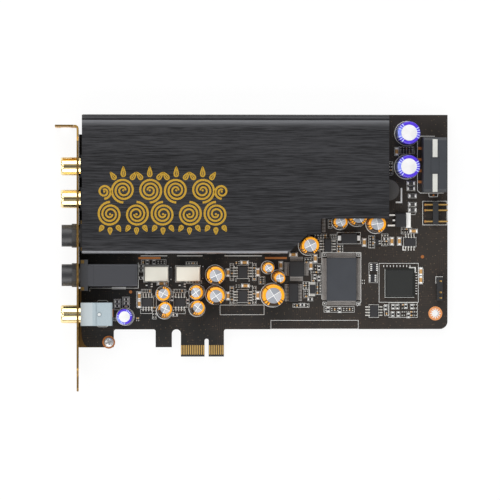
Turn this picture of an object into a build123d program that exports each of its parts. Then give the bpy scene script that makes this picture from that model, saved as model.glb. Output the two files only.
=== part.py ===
"""A half-length, full-height sound card with an x1 edge tab, a gold slot bracket and a folded shield cover.

Millimetres. While it is modelled, X runs from the board's left edge, Y from the tips of its edge contacts and
Z from its solder side, so a place can be read off a flat view of the card. At the end the whole card is moved
so that the middle of its base is the origin.
"""

import math
import os

from build123d import *

# Circuit board
BOARD_LENGTH = 167.65
BOARD_TOP_Y = 109.9
BOARD_THICKNESS = 1.57
BOARD_CORNER_RADIUS = 3.5
LOWER_EDGE_Y = 12.4
FOOT_EDGE_Y = 4.5
FOOT_WIDTH = 15.8
RETENTION_LEFT = 34.75
RETENTION_RIGHT = 42.1
RETENTION_EDGE_Y = 4.3
TAB_LEFT = 46.25
TAB_WIDTH = 19.5
TAB_BEVEL = 0.9
TAB_BEVEL_DEPTH = 0.35
KEY_OFFSET = 11.65
KEY_WIDTH = 1.9
KEY_TOP_Y = 8.1
NOTCH_RADIUS = 1.0
FOOT_RELIEF = 1.1
FOOT_RELIEF_TOP_Y = 31.5
FOOT_CORNER_WIDTH = 2.8
FOOT_CORNER_HEIGHT = 6.5
CORNER_RELIEF = 1.8
CORNER_RELIEF_Y = 100.8
MOUNT_HOLE_EDGE_GAP = 5.55
MOUNT_HOLE = (BOARD_LENGTH - MOUNT_HOLE_EDGE_GAP, 19.5)
MOUNT_HOLE_DIAMETER = 2.8
MOUNT_LAND_DIAMETER = 6.35
COPPER_THICKNESS = 0.05

# Edge contacts
CONTACT_PITCH = 1.0
CONTACT_WIDTH = 0.6
CONTACT_TOP_Y = 5.2
CONTACTS_BEFORE_KEY = 11
CONTACTS_AFTER_KEY = 7

# Slot bracket
SHEET = 0.86
BRACKET_GAP = 0.1
BRACKET_BELOW_BOARD = 2.5
BRACKET_WIDTH = 18.42
BRACKET_TOP_Y = 104.72
BRACKET_BOTTOM_Y = -15.3
TONGUE_WIDTH = 10.19
SHOULDER_Y = -4.7
TONGUE_TIP_CHAMFER = 1.6
TOP_TAB_REACH = 10.7
TOP_BEND_RADIUS = 0.7
TOP_CORNER_DEPTH = 2.0
TOP_CORNER_Y = 97.5
TAB_NOTCH_RADIUS = 2.2
TAB_NOTCH_DEPTH = 4.6
TAB_NOTCH_REACH = 6.0
FOOT_BOTTOM_Y = 4.2
FOOT_TOP_Y = 14.6
FOOT_REACH = 15.6
FOOT_BEND_RADIUS = 0.5
FOOT_SLIT = 0.3
LIP_TOP_Y = 30.9
LIP_REACH = 3.0
SCREW_PLACE = (13.5, 6.6)
SCREW_DIAMETER = 2.5
SCREW_CLEARANCE = 0.15
SCREW_HEAD_DIAMETER = 4.4
SCREW_HEAD_HEIGHT = 1.7
SCREW_TAIL = 0.9
SMALL_ROUND_SIDES = 16

# Shield cover
COVER_TOP_ABOVE_BOARD = 12.9
COVER_SHEET = 1.0
COVER_BEND_RADIUS = 1.0
COVER_LEFT = 1.4
COVER_RIGHT = 139.9
COVER_LOWER_Y = 46.8
COVER_UPPER_Y = 109.4
COVER_SLANT_X = 94.2
COVER_STEP_X = 109.0
COVER_STEP_Y = 55.4
COVER_SHELF_Y = 62.6
CLINCH_WIDTH = 4.0
CLINCH_REACH = 2.6
CLINCH_SLOT_CLEARANCE = 0.1
LOWER_CLINCHES = (32.0, 60.0, 89.4)
UPPER_CLINCHES = (20.0, 76.0, 130.0)
STRIP_LENGTH = 10.0
STRIP_WIDTH = 0.9
STRIP_GAP = 1.6

# Sockets on the bracket
SOCKET_AXIS_ABOVE_BOARD = 5.9
LINE_OUT_YS = (86.2, 71.5)
DIGITAL_OUT_Y = 19.5
PHONO_SHELL_DIAMETER = 8.2
PHONO_SHELL_WALL = 0.7
PHONO_SHELL_REACH = 8.1
PHONO_HOLE_CLEARANCE = 0.2
PHONO_FRONT_X = 0.8
PHONO_STEP_X = 7.6
PHONO_BACK_X = 15.1
PHONO_WIDTH = 10.4
PHONO_HEIGHT = 11.2
PHONO_STEP = 0.5
PHONO_CORE_SET_BACK = 0.9
PHONO_CORE_CLEARANCE = 0.05
PHONO_CORE_SIDES = 24
PHONO_BORE_DIAMETER = 3.4
PHONO_BORE_END_X = 4.0
NUB_DIAMETER = 1.2
NUB_HEIGHT = 0.6
NUB_SET_BACK = 1.6
NUB_SIDES = 8
JACK_YS = (54.9, 37.1)
JACK_BORE_DIAMETER = 6.4
JACK_BORE_END_X = 24.0
JACK_NOSE_DIAMETER = 9.9
JACK_NOSE_REACH = 7.75
JACK_HOLE_CLEARANCE = 0.1
JACK_FLANGE_X = 0.7
JACK_FLANGE_DEPTH = 3.4
JACK_FLANGE_WIDTH = 14.0
JACK_BACK_X = 26.4
JACK_WIDTH = 9.9
JACK_HEIGHT = 11.2
JACK_EDGE_CHAMFER = 0.8
NUT_DIAMETER = 10.8
NUT_DEPTH = 2.2
NUT_SIDES = 12
NUT_BORE_SIDES = 24
CLIP_SIZE = 1.5
CLIP_THICKNESS = 0.3
CLIP_INSET = 0.2
LEAF_THICKNESS = 0.25
LEAF_WIDTH = 1.6
LEAF_CLEARANCE = 0.1
JACK_LEAF_LENGTH = 6.0
PHONO_LEAF_LENGTH = 7.0

# Radial capacitors: middle of the base, then how far the top leans towards +X and +Y
SLIM_CAP = (5.0, 11.0)
SMALL_CAP = (6.3, 11.0)
MIDDLE_CAP = (8.0, 11.4)
WIDE_CAP = (10.0, 12.5)
SMALL_SUPPLY_CAP = (7.0, 11.0)
WIDE_SUPPLY_CAP = (10.2, 12.5)
AUDIO_CAPS = (
    (SMALL_CAP, 38.4, 28.6, -0.4, 0.2),
    (SMALL_CAP, 38.7, 20.7, 0.2, 1.3),
    (SMALL_CAP, 53.4, 29.3, -0.7, 0.0),
    (SMALL_CAP, 53.4, 21.8, 0.2, 0.7),
    (MIDDLE_CAP, 61.7, 37.2, 0.0, -0.3),
    (MIDDLE_CAP, 61.8, 28.1, 0.0, -0.4),
    (SLIM_CAP, 85.6, 40.5, 0.0, -0.3),
    (SLIM_CAP, 90.2, 36.4, 0.4, -0.7),
    (WIDE_CAP, 87.7, 27.9, 0.0, 0.0),
    (MIDDLE_CAP, 104.0, 50.4, 0.4, 0.1),
    (SMALL_CAP, 118.4, 61.2, -0.3, 0.0),
    (MIDDLE_CAP, 126.2, 63.5, 0.0, 0.0),
    (MIDDLE_CAP, 134.7, 60.3, 0.0, 0.0),
)
UPPER_SUPPLY_CAP_EDGE_GAP = 18.65
LOWER_SUPPLY_CAP_EDGE_GAP = 18.75
SUPPLY_CAPS = (
    (SMALL_SUPPLY_CAP, 20.9, 18.2, -0.4, 0.2),
    (WIDE_SUPPLY_CAP, BOARD_LENGTH - UPPER_SUPPLY_CAP_EDGE_GAP, 101.4, 0.0, 0.0),
    (WIDE_SUPPLY_CAP, BOARD_LENGTH - LOWER_SUPPLY_CAP_EDGE_GAP, 86.2, 0.0, 0.0),
)

# Relays and film capacitors
RELAY_SIZE = (10.6, 6.6, 5.2)
RELAY_EDGE = 0.3
RELAYS = ((35.0, 37.6), (49.4, 37.6), (35.0, 64.0))
FILM_CAP_SIZE = (7.2, 4.5, 7.5)
FILM_CAPS = ((52.0, 60.0), (62.0, 60.0), (52.0, 68.0), (62.0, 68.0))
FILM_CAP_LEAD = 0.5

# Socketed output amplifiers
DIP_PLACES = ((40.0, 84.0), (58.0, 84.0), (76.0, 84.0))
DIP_SOCKET_SIZE = (10.2, 10.2, 4.2)
DIP_BODY_SIZE = (9.4, 6.4, 3.3)
DIP_PITCH = 2.54

# Small outline packages: middle, body X and Y, and the axis that their leads point along
CHIP_EDGE = 0.25
SMALL_OUTLINE_HEIGHT = 1.75
LEAD_COUNT = 4
LEAD_PITCH = 1.27
LEAD_REACH = 1.9
LEAD_WIDTH = 0.45
LEAD_THICKNESS = 0.3
AMPLIFIERS = (
    (74.25, 38.4, 4.4, 5.3, "X"),
    (74.25, 27.5, 4.4, 5.3, "X"),
    (45.8, 24.7, 5.0, 3.9, "Y"),
    (31.0, 24.7, 5.0, 3.9, "Y"),
)
RIGHT_LOGIC_EDGE_GAP = 17.25
LOGIC_CHIPS = (
    (134.0, 20.6, 3.7, 5.1, "X"),
    (BOARD_LENGTH - RIGHT_LOGIC_EDGE_GAP, 52.0, 5.0, 3.7, "Y"),
    (112.9, 50.6, 3.3, 5.8, "X"),
)

# Close-pitched packages: middle, then body X, Y and height
CONVERTER_PLACE = (98.75, 39.8)
CONVERTER_BODY = (6.9, 6.9, 1.4)
RECEIVER_PLACE = (97.3, 29.0)
RECEIVER_BODY = (4.4, 8.2, 1.5)
PROCESSOR_PLACE = (119.2, 35.1)
PROCESSOR_BODY = (13.6, 19.6, 1.6)
OUTPUT_CONVERTER_PLACE = (107.6, 61.0)
OUTPUT_CONVERTER_BODY = (5.3, 10.2, 1.8)

# Ball grid bridge
BRIDGE_EDGE_GAP = 21.95
BRIDGE_Y = 33.3
BRIDGE_LAMINATE = (13.6, 13.2, 0.5)
BRIDGE_MOULD = (12.2, 11.8, 1.0)
BRIDGE_STAND_OFF = 0.4
BRIDGE_BALL_SPREAD = 10.2
BRIDGE_BALL = 1.0

# Power parts
DIODE = (122.6, 53.8)
DIODE_BODY = (7.2, 4.5, 2.3)
DIODE_TERMINAL = (1.4, 2.2, 1.0)
TANTALUM = (106.1, 30.6)
TANTALUM_BODY = (2.6, 4.0, 1.6)
TANTALUM_TERMINAL = (2.2, 1.2, 0.8)
REGULATOR_EDGE_GAP = 21.55
REGULATOR_Y = 61.9
REGULATOR_BODY = (5.0, 6.1, 2.3)
REGULATOR_TAB = (2.2, 6.9, 0.5)
REGULATOR_LEAD_REACH = 3.3
REGULATOR_LEAD_WIDTH = 0.75
REGULATOR_LEAD_THICKNESS = 0.5
REGULATOR_LEAD_PITCH = 2.35
REGULATOR_STUB_REACH = 1.1
INDUCTOR_EDGE_GAP = 27.35
INDUCTOR_Y = 75.6
INDUCTOR_SIZE = (9.6, 6.0)
INDUCTOR_SIDES = 24
TRANSISTORS = ((31.8, 32.4), (46.8, 32.4), (135.4, 51.9))
TRANSISTOR_BODY = (1.3, 2.9, 1.1)

# Small chips: middle, and the axis of the long side, with X from the left edge or from the right edge
CHIP_CAP_SIZE = (3.2, 1.25, 1.0)
CHIP_CAPS = (
    (75.1, 42.7, "X"), (67.6, 38.2, "Y"), (81.2, 38.4, "Y"), (75.5, 32.15, "X"), (67.6, 27.6, "Y"),
    (81.1, 27.8, "Y"), (97.3, 46.3, "X"), (91.6, 41.4, "Y"), (105.3, 41.3, "Y"), (107.3, 44.6, "Y"),
    (129.6, 51.9, "Y"), (27.3, 27.6, "Y"), (27.3, 24.0, "Y"), (37.4, 33.2, "X"),
)
CHIP_CAPS_FROM_RIGHT = (
    (25.45, 52.4, "Y"), (22.05, 52.4, "Y"), (15.55, 57.0, "X"), (23.25, 93.2, "Y"), (16.05, 73.0, "X"),
    (16.05, 69.2, "X"), (16.05, 66.6, "X"), (16.75, 78.8, "X"), (16.75, 76.3, "X"), (12.25, 38.6, "Y"),
    (12.25, 34.8, "Y"),
)
CHIP_RESISTOR_SIZE = (1.7, 0.9, 0.5)
CHIP_RESISTORS = (
    (17.3, 25.0, "X"), (17.3, 23.0, "X"), (21.4, 26.0, "X"), (21.4, 24.2, "X"), (28.2, 41.0, "X"),
    (28.0, 39.2, "X"), (28.0, 35.8, "X"), (31.0, 42.9, "Y"), (34.0, 42.9, "Y"), (42.3, 26.4, "Y"),
    (49.3, 25.0, "Y"), (43.6, 19.0, "X"), (107.0, 36.3, "Y"), (109.0, 40.2, "Y"), (109.0, 35.4, "Y"),
    (105.0, 26.0, "X"), (101.4, 23.5, "X"), (113.2, 21.4, "Y"), (118.4, 21.0, "Y"),
)
CHIP_RESISTORS_FROM_RIGHT = (
    (28.35, 22.2, "Y"), (24.85, 22.6, "Y"), (22.85, 22.6, "Y"), (19.05, 22.8, "Y"), (16.25, 22.6, "Y"),
    (25.05, 19.2, "Y"), (22.45, 19.2, "Y"), (17.85, 18.6, "Y"), (28.05, 53.4, "X"),
)
NETWORK_SIZE = (2.6, 3.4, 0.6)
NETWORKS = ((134.1, 40.5), (133.4, 35.6))
CLAMP_DIODE_SIZE = (1.4, 5.0, 1.3)
CLAMP_DIODES = ((41.7, 37.8), (56.2, 38.2))

# Power socket with its mouth at the board's right edge
POWER_PIN_COUNT = 4
POWER_WIDTH = 24.7
POWER_DEPTH = 10.55
POWER_HEIGHT = 11.2
POWER_MIDDLE_Y = 87.0
POWER_EDGE_GAP = 1.45
POWER_WALL = 1.3
POWER_BACK_WALL = 2.2
POWER_KEY_CHAMFER = 2.6
POWER_PIN_DIAMETER = 2.1
POWER_PIN_PITCH = 5.08
POWER_PIN_TIP_SET_BACK = 0.8
POWER_TAIL_SET_BACK = 0.9
POWER_TAIL = 1.2
POWER_PANEL = (4.0, 7.6, 0.3)
POWER_PANEL_SHIFT = -0.4
POWER_BAR = (2.2, 8.1, 0.3)
POWER_BAR_SET_BACK = 5.4

# Pin headers
HEADER_PITCH = 2.54
HEADER_PIN = 0.64
SIDE_HEADER_EDGE_GAP = 5.65
SIDE_HEADER_X = BOARD_LENGTH - SIDE_HEADER_EDGE_GAP
SIDE_HEADER_FIRST_Y = 69.0
SIDE_HEADER_TAIL_EDGE_GAP = 10.35
SIDE_HEADER_TAIL_X = BOARD_LENGTH - SIDE_HEADER_TAIL_EDGE_GAP
SIDE_HEADER_PINS = (0, 1, 3)
UPRIGHT_HEADER_EDGE_GAP = 3.75
UPRIGHT_HEADER = (BOARD_LENGTH - UPRIGHT_HEADER_EDGE_GAP, 34.3)
UPRIGHT_HEADER_PINS = (0, 2, 3)
UPRIGHT_PIN_HEIGHT = 8.5
HEADER_PLACE_COUNT = 4

# Soldered joints on the back of the board
JOINT_SIZE = 1.9
JOINT_TIP = 0.8
JOINT_HEIGHT = 1.4

BRACKET_IN_X = -BRACKET_GAP
BRACKET_OUT_X = -BRACKET_GAP - SHEET
BRACKET_LOW_Z = -BRACKET_BELOW_BOARD
BRACKET_HIGH_Z = BRACKET_LOW_Z + BRACKET_WIDTH
TOP = BOARD_THICKNESS
AXIS_Z = TOP + SOCKET_AXIS_ABOVE_BOARD
KEY_X = TAB_LEFT + KEY_OFFSET
COVER_TOP_Z = TOP + COVER_TOP_ABOVE_BOARD
POWER_MOUTH_X = BOARD_LENGTH - POWER_EDGE_GAP
POWER_BACK_X = POWER_MOUTH_X - POWER_DEPTH
POWER_TAIL_X = POWER_BACK_X - POWER_TAIL_SET_BACK
PHONO_YS = (*LINE_OUT_YS, DIGITAL_OUT_Y)

nodes = {}


def keep(name, *solids):
    """Files solids under the node they belong to."""
    nodes.setdefault(name, []).extend(solids)


def block(x0, x1, y0, y1, z0, z1):
    """A rectangular solid between the given faces."""
    middle = Pos((x0 + x1) / 2, (y0 + y1) / 2, (z0 + z1) / 2)
    return middle * Box(x1 - x0, y1 - y0, z1 - z0)


def slab(x, y, size, z=TOP):
    """A rectangular solid of the given size that stands at a height over a place on the board."""
    length, width, height = size
    return Pos(x, y, z + height / 2) * Box(length, width, height)


def rod_x(x0, x1, y, z, diameter):
    """A round rod that lies along X."""
    return Pos((x0 + x1) / 2, y, z) * Rot(0, 90, 0) * Cylinder(diameter / 2, x1 - x0)


def rod_z(x, y, z0, z1, diameter):
    """A round rod that stands along Z."""
    return Pos(x, y, (z0 + z1) / 2) * Cylinder(diameter / 2, z1 - z0)


def many_sided_rod(length, diameter, sides):
    """A small round rod along Z with flat facets, its corners on the given diameter."""
    return extrude(RegularPolygon(diameter / 2, sides), amount=length / 2, both=True)


def small_rod_x(x0, x1, y, z, diameter, sides=SMALL_ROUND_SIDES):
    """A small faceted rod that lies along X."""
    return Pos((x0 + x1) / 2, y, z) * Rot(0, 90, 0) * many_sided_rod(x1 - x0, diameter, sides)


def small_rod_z(x, y, z0, z1, diameter, sides=SMALL_ROUND_SIDES):
    """A small faceted rod that stands along Z."""
    return Pos(x, y, (z0 + z1) / 2) * many_sided_rod(z1 - z0, diameter, sides)


def rounded_outline(corners):
    """A flat face through corners given as X, Y and the radius of each corner."""
    face = make_face(Polyline(*[(x, y) for x, y, _ in corners], close=True))
    for radius in sorted({r for *_, r in corners if r > 0}):
        places = [Vector(x, y, 0) for x, y, r in corners if r == radius]
        picked = [v for v in face.vertices() if min((Vector(*v) - p).length for p in places) < 1e-4]
        face = fillet(picked, radius)
    return face


def edged_slab(x, y, size, edge, z=TOP):
    """A slab whose upper edges are bevelled, as on a moulded case."""
    body = slab(x, y, size, z)
    return chamfer(body.faces().sort_by(Axis.Z)[-1].edges(), edge)


def clinch_slots():
    """The slots in the board that the shield cover's tabs pass through."""
    half = CLINCH_WIDTH / 2 + CLINCH_SLOT_CLEARANCE
    cuts = []
    for xs, wall in ((LOWER_CLINCHES, COVER_LOWER_Y), (UPPER_CLINCHES, COVER_UPPER_Y - COVER_SHEET)):
        low = wall - CLINCH_SLOT_CLEARANCE
        high = wall + COVER_SHEET + CLINCH_SLOT_CLEARANCE
        cuts += [block(x - half, x + half, low, high, -1, TOP + 1) for x in xs]
    return cuts


def circuit_board():
    slot_radius = (TAB_LEFT - RETENTION_RIGHT) / 2 - 0.05
    key_left = KEY_X - KEY_WIDTH / 2
    key_right = KEY_X + KEY_WIDTH / 2
    key_radius = KEY_WIDTH / 2 - 0.05
    tab_right = TAB_LEFT + TAB_WIDTH
    outline = rounded_outline((
        (FOOT_RELIEF + FOOT_CORNER_WIDTH, FOOT_EDGE_Y, 0),
        (FOOT_WIDTH, FOOT_EDGE_Y, 0),
        (FOOT_WIDTH, LOWER_EDGE_Y, NOTCH_RADIUS),
        (RETENTION_LEFT, LOWER_EDGE_Y, NOTCH_RADIUS),
        (RETENTION_LEFT, RETENTION_EDGE_Y, 0),
        (RETENTION_RIGHT, RETENTION_EDGE_Y, 0),
        (RETENTION_RIGHT, LOWER_EDGE_Y, slot_radius),
        (TAB_LEFT, LOWER_EDGE_Y, slot_radius),
        (TAB_LEFT, 0, 0),
        (key_left, 0, 0),
        (key_left, KEY_TOP_Y, key_radius),
        (key_right, KEY_TOP_Y, key_radius),
        (key_right, 0, 0),
        (tab_right, 0, 0),
        (tab_right, LOWER_EDGE_Y, NOTCH_RADIUS),
        (BOARD_LENGTH, LOWER_EDGE_Y, BOARD_CORNER_RADIUS),
        (BOARD_LENGTH, BOARD_TOP_Y, 0),
        (CORNER_RELIEF, BOARD_TOP_Y, 0),
        (CORNER_RELIEF, CORNER_RELIEF_Y, 0),
        (0, CORNER_RELIEF_Y, 0),
        (0, FOOT_RELIEF_TOP_Y, 0),
        (FOOT_RELIEF, FOOT_RELIEF_TOP_Y, 0),
        (FOOT_RELIEF, FOOT_EDGE_Y + FOOT_CORNER_HEIGHT, 0),
        (FOOT_RELIEF + FOOT_CORNER_WIDTH * 0.15, FOOT_EDGE_Y + FOOT_CORNER_HEIGHT * 0.5, 0),
        (FOOT_RELIEF + FOOT_CORNER_WIDTH * 0.5, FOOT_EDGE_Y + FOOT_CORNER_HEIGHT * 0.15, 0),
    ))
    board = extrude(outline, amount=BOARD_THICKNESS)
    board -= rod_z(*MOUNT_HOLE, -1, TOP + 1, MOUNT_HOLE_DIAMETER)
    board -= small_rod_z(*SCREW_PLACE, -1, TOP + 1, SCREW_DIAMETER + 2 * SCREW_CLEARANCE)
    for cut in clinch_slots():
        board -= cut
    bevel = make_face(Polyline((0, 0), (TAB_BEVEL, 0), (0, TAB_BEVEL_DEPTH), close=True))
    side = Plane(origin=(TAB_LEFT - 1, 0, 0), x_dir=(0, 1, 0), z_dir=(1, 0, 0))
    low_cut = extrude(side * bevel, amount=TAB_WIDTH + 2)
    high_cut = Pos(0, 0, TOP) * mirror(low_cut, Plane.XY)
    keep("circuit_board", board - low_cut - high_cut)


def edge_contacts():
    low = TAB_BEVEL + 0.05
    margin = (KEY_OFFSET - KEY_WIDTH / 2 - (CONTACTS_BEFORE_KEY - 1) * CONTACT_PITCH) / 2
    first = TAB_LEFT + margin
    after = KEY_X + KEY_WIDTH / 2
    right_room = TAB_LEFT + TAB_WIDTH - after
    after += (right_room - (CONTACTS_AFTER_KEY - 1) * CONTACT_PITCH) / 2
    places = [first + i * CONTACT_PITCH for i in range(CONTACTS_BEFORE_KEY)]
    places += [after + i * CONTACT_PITCH for i in range(CONTACTS_AFTER_KEY)]
    half = CONTACT_WIDTH / 2
    for x in places:
        for z in (-COPPER_THICKNESS, TOP):
            keep("edge_contacts", block(x - half, x + half, low, CONTACT_TOP_Y, z, z + COPPER_THICKNESS))


def ground_strips():
    y = COVER_LOWER_Y - STRIP_GAP - STRIP_WIDTH / 2
    for x in (LOWER_CLINCHES[0], LOWER_CLINCHES[-1]):
        keep("ground_strips", slab(x, y, (STRIP_LENGTH, STRIP_WIDTH, COPPER_THICKNESS)))


def bracket_profile():
    """The bracket seen along its width: a straight plate that bends over into the top tab."""
    inner = TOP_BEND_RADIUS
    outer = TOP_BEND_RADIUS + SHEET
    tab_low = BRACKET_TOP_Y - SHEET
    centre_x = BRACKET_OUT_X - inner
    centre_y = tab_low - inner
    quarter = math.sqrt(0.5)
    lines = Polyline(
        (centre_x, BRACKET_TOP_Y), (-TOP_TAB_REACH, BRACKET_TOP_Y), (-TOP_TAB_REACH, tab_low),
        (centre_x, tab_low),
    )
    lines += ThreePointArc(
        (centre_x, tab_low), (centre_x + inner * quarter, centre_y + inner * quarter),
        (BRACKET_OUT_X, centre_y),
    )
    lines += Polyline(
        (BRACKET_OUT_X, centre_y), (BRACKET_OUT_X, BRACKET_BOTTOM_Y), (BRACKET_IN_X, BRACKET_BOTTOM_Y),
        (BRACKET_IN_X, centre_y),
    )
    lines += ThreePointArc(
        (BRACKET_IN_X, centre_y), (centre_x + outer * quarter, centre_y + outer * quarter),
        (centre_x, BRACKET_TOP_Y),
    )
    return make_face(lines)


def bent_tab(reach, low_y, high_y):
    """A tab that bends off the plate's edge and lies under the board."""
    inner = FOOT_BEND_RADIUS
    outer = inner + SHEET
    centre_x = BRACKET_IN_X + inner
    quarter = math.sqrt(0.5)
    lines = Polyline((BRACKET_IN_X, inner), (BRACKET_OUT_X, inner))
    lines += ThreePointArc(
        (BRACKET_OUT_X, inner), (centre_x - outer * quarter, inner - outer * quarter), (centre_x, -SHEET)
    )
    lines += Polyline((centre_x, -SHEET), (reach, -SHEET), (reach, 0), (centre_x, 0))
    lines += ThreePointArc(
        (centre_x, 0), (centre_x - inner * quarter, inner - inner * quarter), (BRACKET_IN_X, inner)
    )
    side = Plane(origin=(0, high_y, 0), x_dir=(1, 0, 0), z_dir=(0, -1, 0))
    return extrude(side * make_face(lines), amount=high_y - low_y)


def bracket_foot():
    """The wide foot with its tapped hole, and the narrow lip that runs on beside the board's edge."""
    foot = bent_tab(FOOT_REACH, FOOT_BOTTOM_Y, FOOT_TOP_Y)
    foot += bent_tab(LIP_REACH, FOOT_TOP_Y, LIP_TOP_Y)
    return foot - small_rod_z(*SCREW_PLACE, -2, 1, SCREW_DIAMETER)


def edge_trims():
    """What is cut from the bracket's long edges: shoulders, the tongue's tip, the corner by the tab."""
    shoulder = (BRACKET_WIDTH - TONGUE_WIDTH) / 2
    far_y = BRACKET_BOTTOM_Y - 1
    tongue_y = SHOULDER_Y - shoulder
    tip_y = BRACKET_BOTTOM_Y + TONGUE_TIP_CHAMFER
    side = Plane(origin=(-2 * TOP_TAB_REACH, 0, 0), x_dir=(0, 1, 0), z_dir=(1, 0, 0))
    trims = []
    for edge, inward in ((BRACKET_LOW_Z, 1), (BRACKET_HIGH_Z, -1)):
        past = edge - inward
        face = make_face(Polyline(
            (SHOULDER_Y + 1, past), (tongue_y, edge + inward * shoulder), (tip_y, edge + inward * shoulder),
            (BRACKET_BOTTOM_Y, edge + inward * (shoulder + TONGUE_TIP_CHAMFER)),
            (far_y, edge + inward * (shoulder + TONGUE_TIP_CHAMFER)), (far_y, past), close=True,
        ))
        trims.append(extrude(side * face, amount=3 * TOP_TAB_REACH))
    corner_low = BRACKET_HIGH_Z - TOP_CORNER_DEPTH
    corner = make_face(Polyline(
        (TOP_CORNER_Y - 1, BRACKET_HIGH_Z + 1), (TOP_CORNER_Y + TOP_CORNER_DEPTH, corner_low),
        (BRACKET_TOP_Y + 1, corner_low), (BRACKET_TOP_Y + 1, BRACKET_HIGH_Z + 1), close=True,
    ))
    bend_end = Plane(origin=(BRACKET_OUT_X - TOP_BEND_RADIUS - 0.7, 0, 0), x_dir=(0, 1, 0), z_dir=(1, 0, 0))
    trims.append(extrude(bend_end * corner, amount=TOP_TAB_REACH))
    return trims


def slot_bracket():
    sheet = Pos(0, 0, BRACKET_LOW_Z) * extrude(bracket_profile(), amount=BRACKET_WIDTH)
    for trim in edge_trims():
        sheet -= trim
    notch_z = BRACKET_LOW_Z + TAB_NOTCH_DEPTH - TAB_NOTCH_RADIUS
    notch = Pos(-TAB_NOTCH_REACH, BRACKET_TOP_Y, notch_z) * Rot(90, 0, 0) * Cylinder(TAB_NOTCH_RADIUS, 4)
    notch += block(
        -TAB_NOTCH_REACH - TAB_NOTCH_RADIUS, -TAB_NOTCH_REACH + TAB_NOTCH_RADIUS,
        BRACKET_TOP_Y - 2, BRACKET_TOP_Y + 2, BRACKET_LOW_Z - 1, notch_z,
    )
    sheet -= notch
    for y in PHONO_YS:
        sheet -= rod_x(-3, 1, y, AXIS_Z, PHONO_SHELL_DIAMETER + 2 * PHONO_HOLE_CLEARANCE)
    for y in JACK_YS:
        sheet -= rod_x(-3, 1, y, AXIS_Z, JACK_NOSE_DIAMETER + 2 * JACK_HOLE_CLEARANCE)
    sheet -= block(
        BRACKET_OUT_X - 1, BRACKET_IN_X + 1, FOOT_BOTTOM_Y - FOOT_SLIT, LIP_TOP_Y + FOOT_SLIT,
        BRACKET_LOW_Z - 1, FOOT_BEND_RADIUS,
    )
    keep("slot_bracket", sheet + bracket_foot())


def bracket_screw():
    x, y = SCREW_PLACE
    head = rod_z(x, y, TOP, TOP + SCREW_HEAD_HEIGHT, SCREW_HEAD_DIAMETER)
    keep("bracket_screw", head + small_rod_z(x, y, -SHEET - SCREW_TAIL, TOP, SCREW_DIAMETER))


def cover_profile():
    """The cover seen along its length: a flat top with a rounded bend and an upright wall on each side."""
    outer = COVER_BEND_RADIUS + COVER_SHEET
    low, high = COVER_LOWER_Y, COVER_UPPER_Y
    outside = Pos((low + high) / 2, (TOP + COVER_TOP_Z) / 2) * Rectangle(high - low, COVER_TOP_Z - TOP)
    outside = fillet(outside.vertices().group_by(Axis.Y)[-1], outer)
    inside_top = COVER_TOP_Z - COVER_SHEET
    inside = Pos((low + high) / 2, (TOP - 1 + inside_top) / 2) * Rectangle(
        high - low - 2 * COVER_SHEET, inside_top - TOP + 1
    )
    inside = fillet(inside.vertices().group_by(Axis.Y)[-1], COVER_BEND_RADIUS)
    return outside - inside


def clinch(x, wall_y, inward):
    """A tab that goes down through the board and is bent flat under it."""
    half = CLINCH_WIDTH / 2
    low, high = wall_y, wall_y + COVER_SHEET
    bent_low, bent_high = (low, high + CLINCH_REACH) if inward > 0 else (low - CLINCH_REACH, high)
    stem = block(x - half, x + half, low, high, -COVER_SHEET, TOP)
    return stem + block(x - half, x + half, bent_low, bent_high, -COVER_SHEET, 0)


def shield_cover():
    side = Plane(origin=(COVER_LEFT, 0, 0), x_dir=(0, 1, 0), z_dir=(1, 0, 0))
    cover = extrude(side * cover_profile(), amount=COVER_RIGHT - COVER_LEFT)
    slant = COVER_STEP_Y - COVER_LOWER_Y
    far = COVER_RIGHT + 1
    cut = make_face(Polyline(
        (COVER_SLANT_X - 1, COVER_LOWER_Y - 1), (COVER_SLANT_X + slant, COVER_STEP_Y),
        (COVER_STEP_X, COVER_STEP_Y),
        (COVER_STEP_X, COVER_SHELF_Y), (far, COVER_SHELF_Y), (far, COVER_LOWER_Y - 1), close=True,
    ))
    cover -= extrude(cut, amount=2 * COVER_TOP_Z)
    for x in LOWER_CLINCHES:
        cover += clinch(x, COVER_LOWER_Y, 1)
    for x in UPPER_CLINCHES:
        cover += clinch(x, COVER_UPPER_Y - COVER_SHEET, -1)
    keep("shield_cover", cover)


def phono_housing(y):
    """A moulded housing with a lower back half and the round core that fills the shell."""
    half = PHONO_WIDTH / 2
    top = TOP + PHONO_HEIGHT
    body = block(PHONO_FRONT_X, PHONO_STEP_X, y - half, y + half, TOP, top)
    body += block(PHONO_STEP_X, PHONO_BACK_X, y - half, y + half, TOP, top - PHONO_STEP)
    core = PHONO_SHELL_DIAMETER - 2 * PHONO_SHELL_WALL - 2 * PHONO_CORE_CLEARANCE
    core_end = -PHONO_SHELL_REACH + PHONO_CORE_SET_BACK
    body += small_rod_x(core_end, PHONO_FRONT_X, y, AXIS_Z, core, PHONO_CORE_SIDES)
    return body - small_rod_x(core_end - 1, PHONO_BORE_END_X, y, AXIS_Z, PHONO_BORE_DIAMETER)


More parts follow.
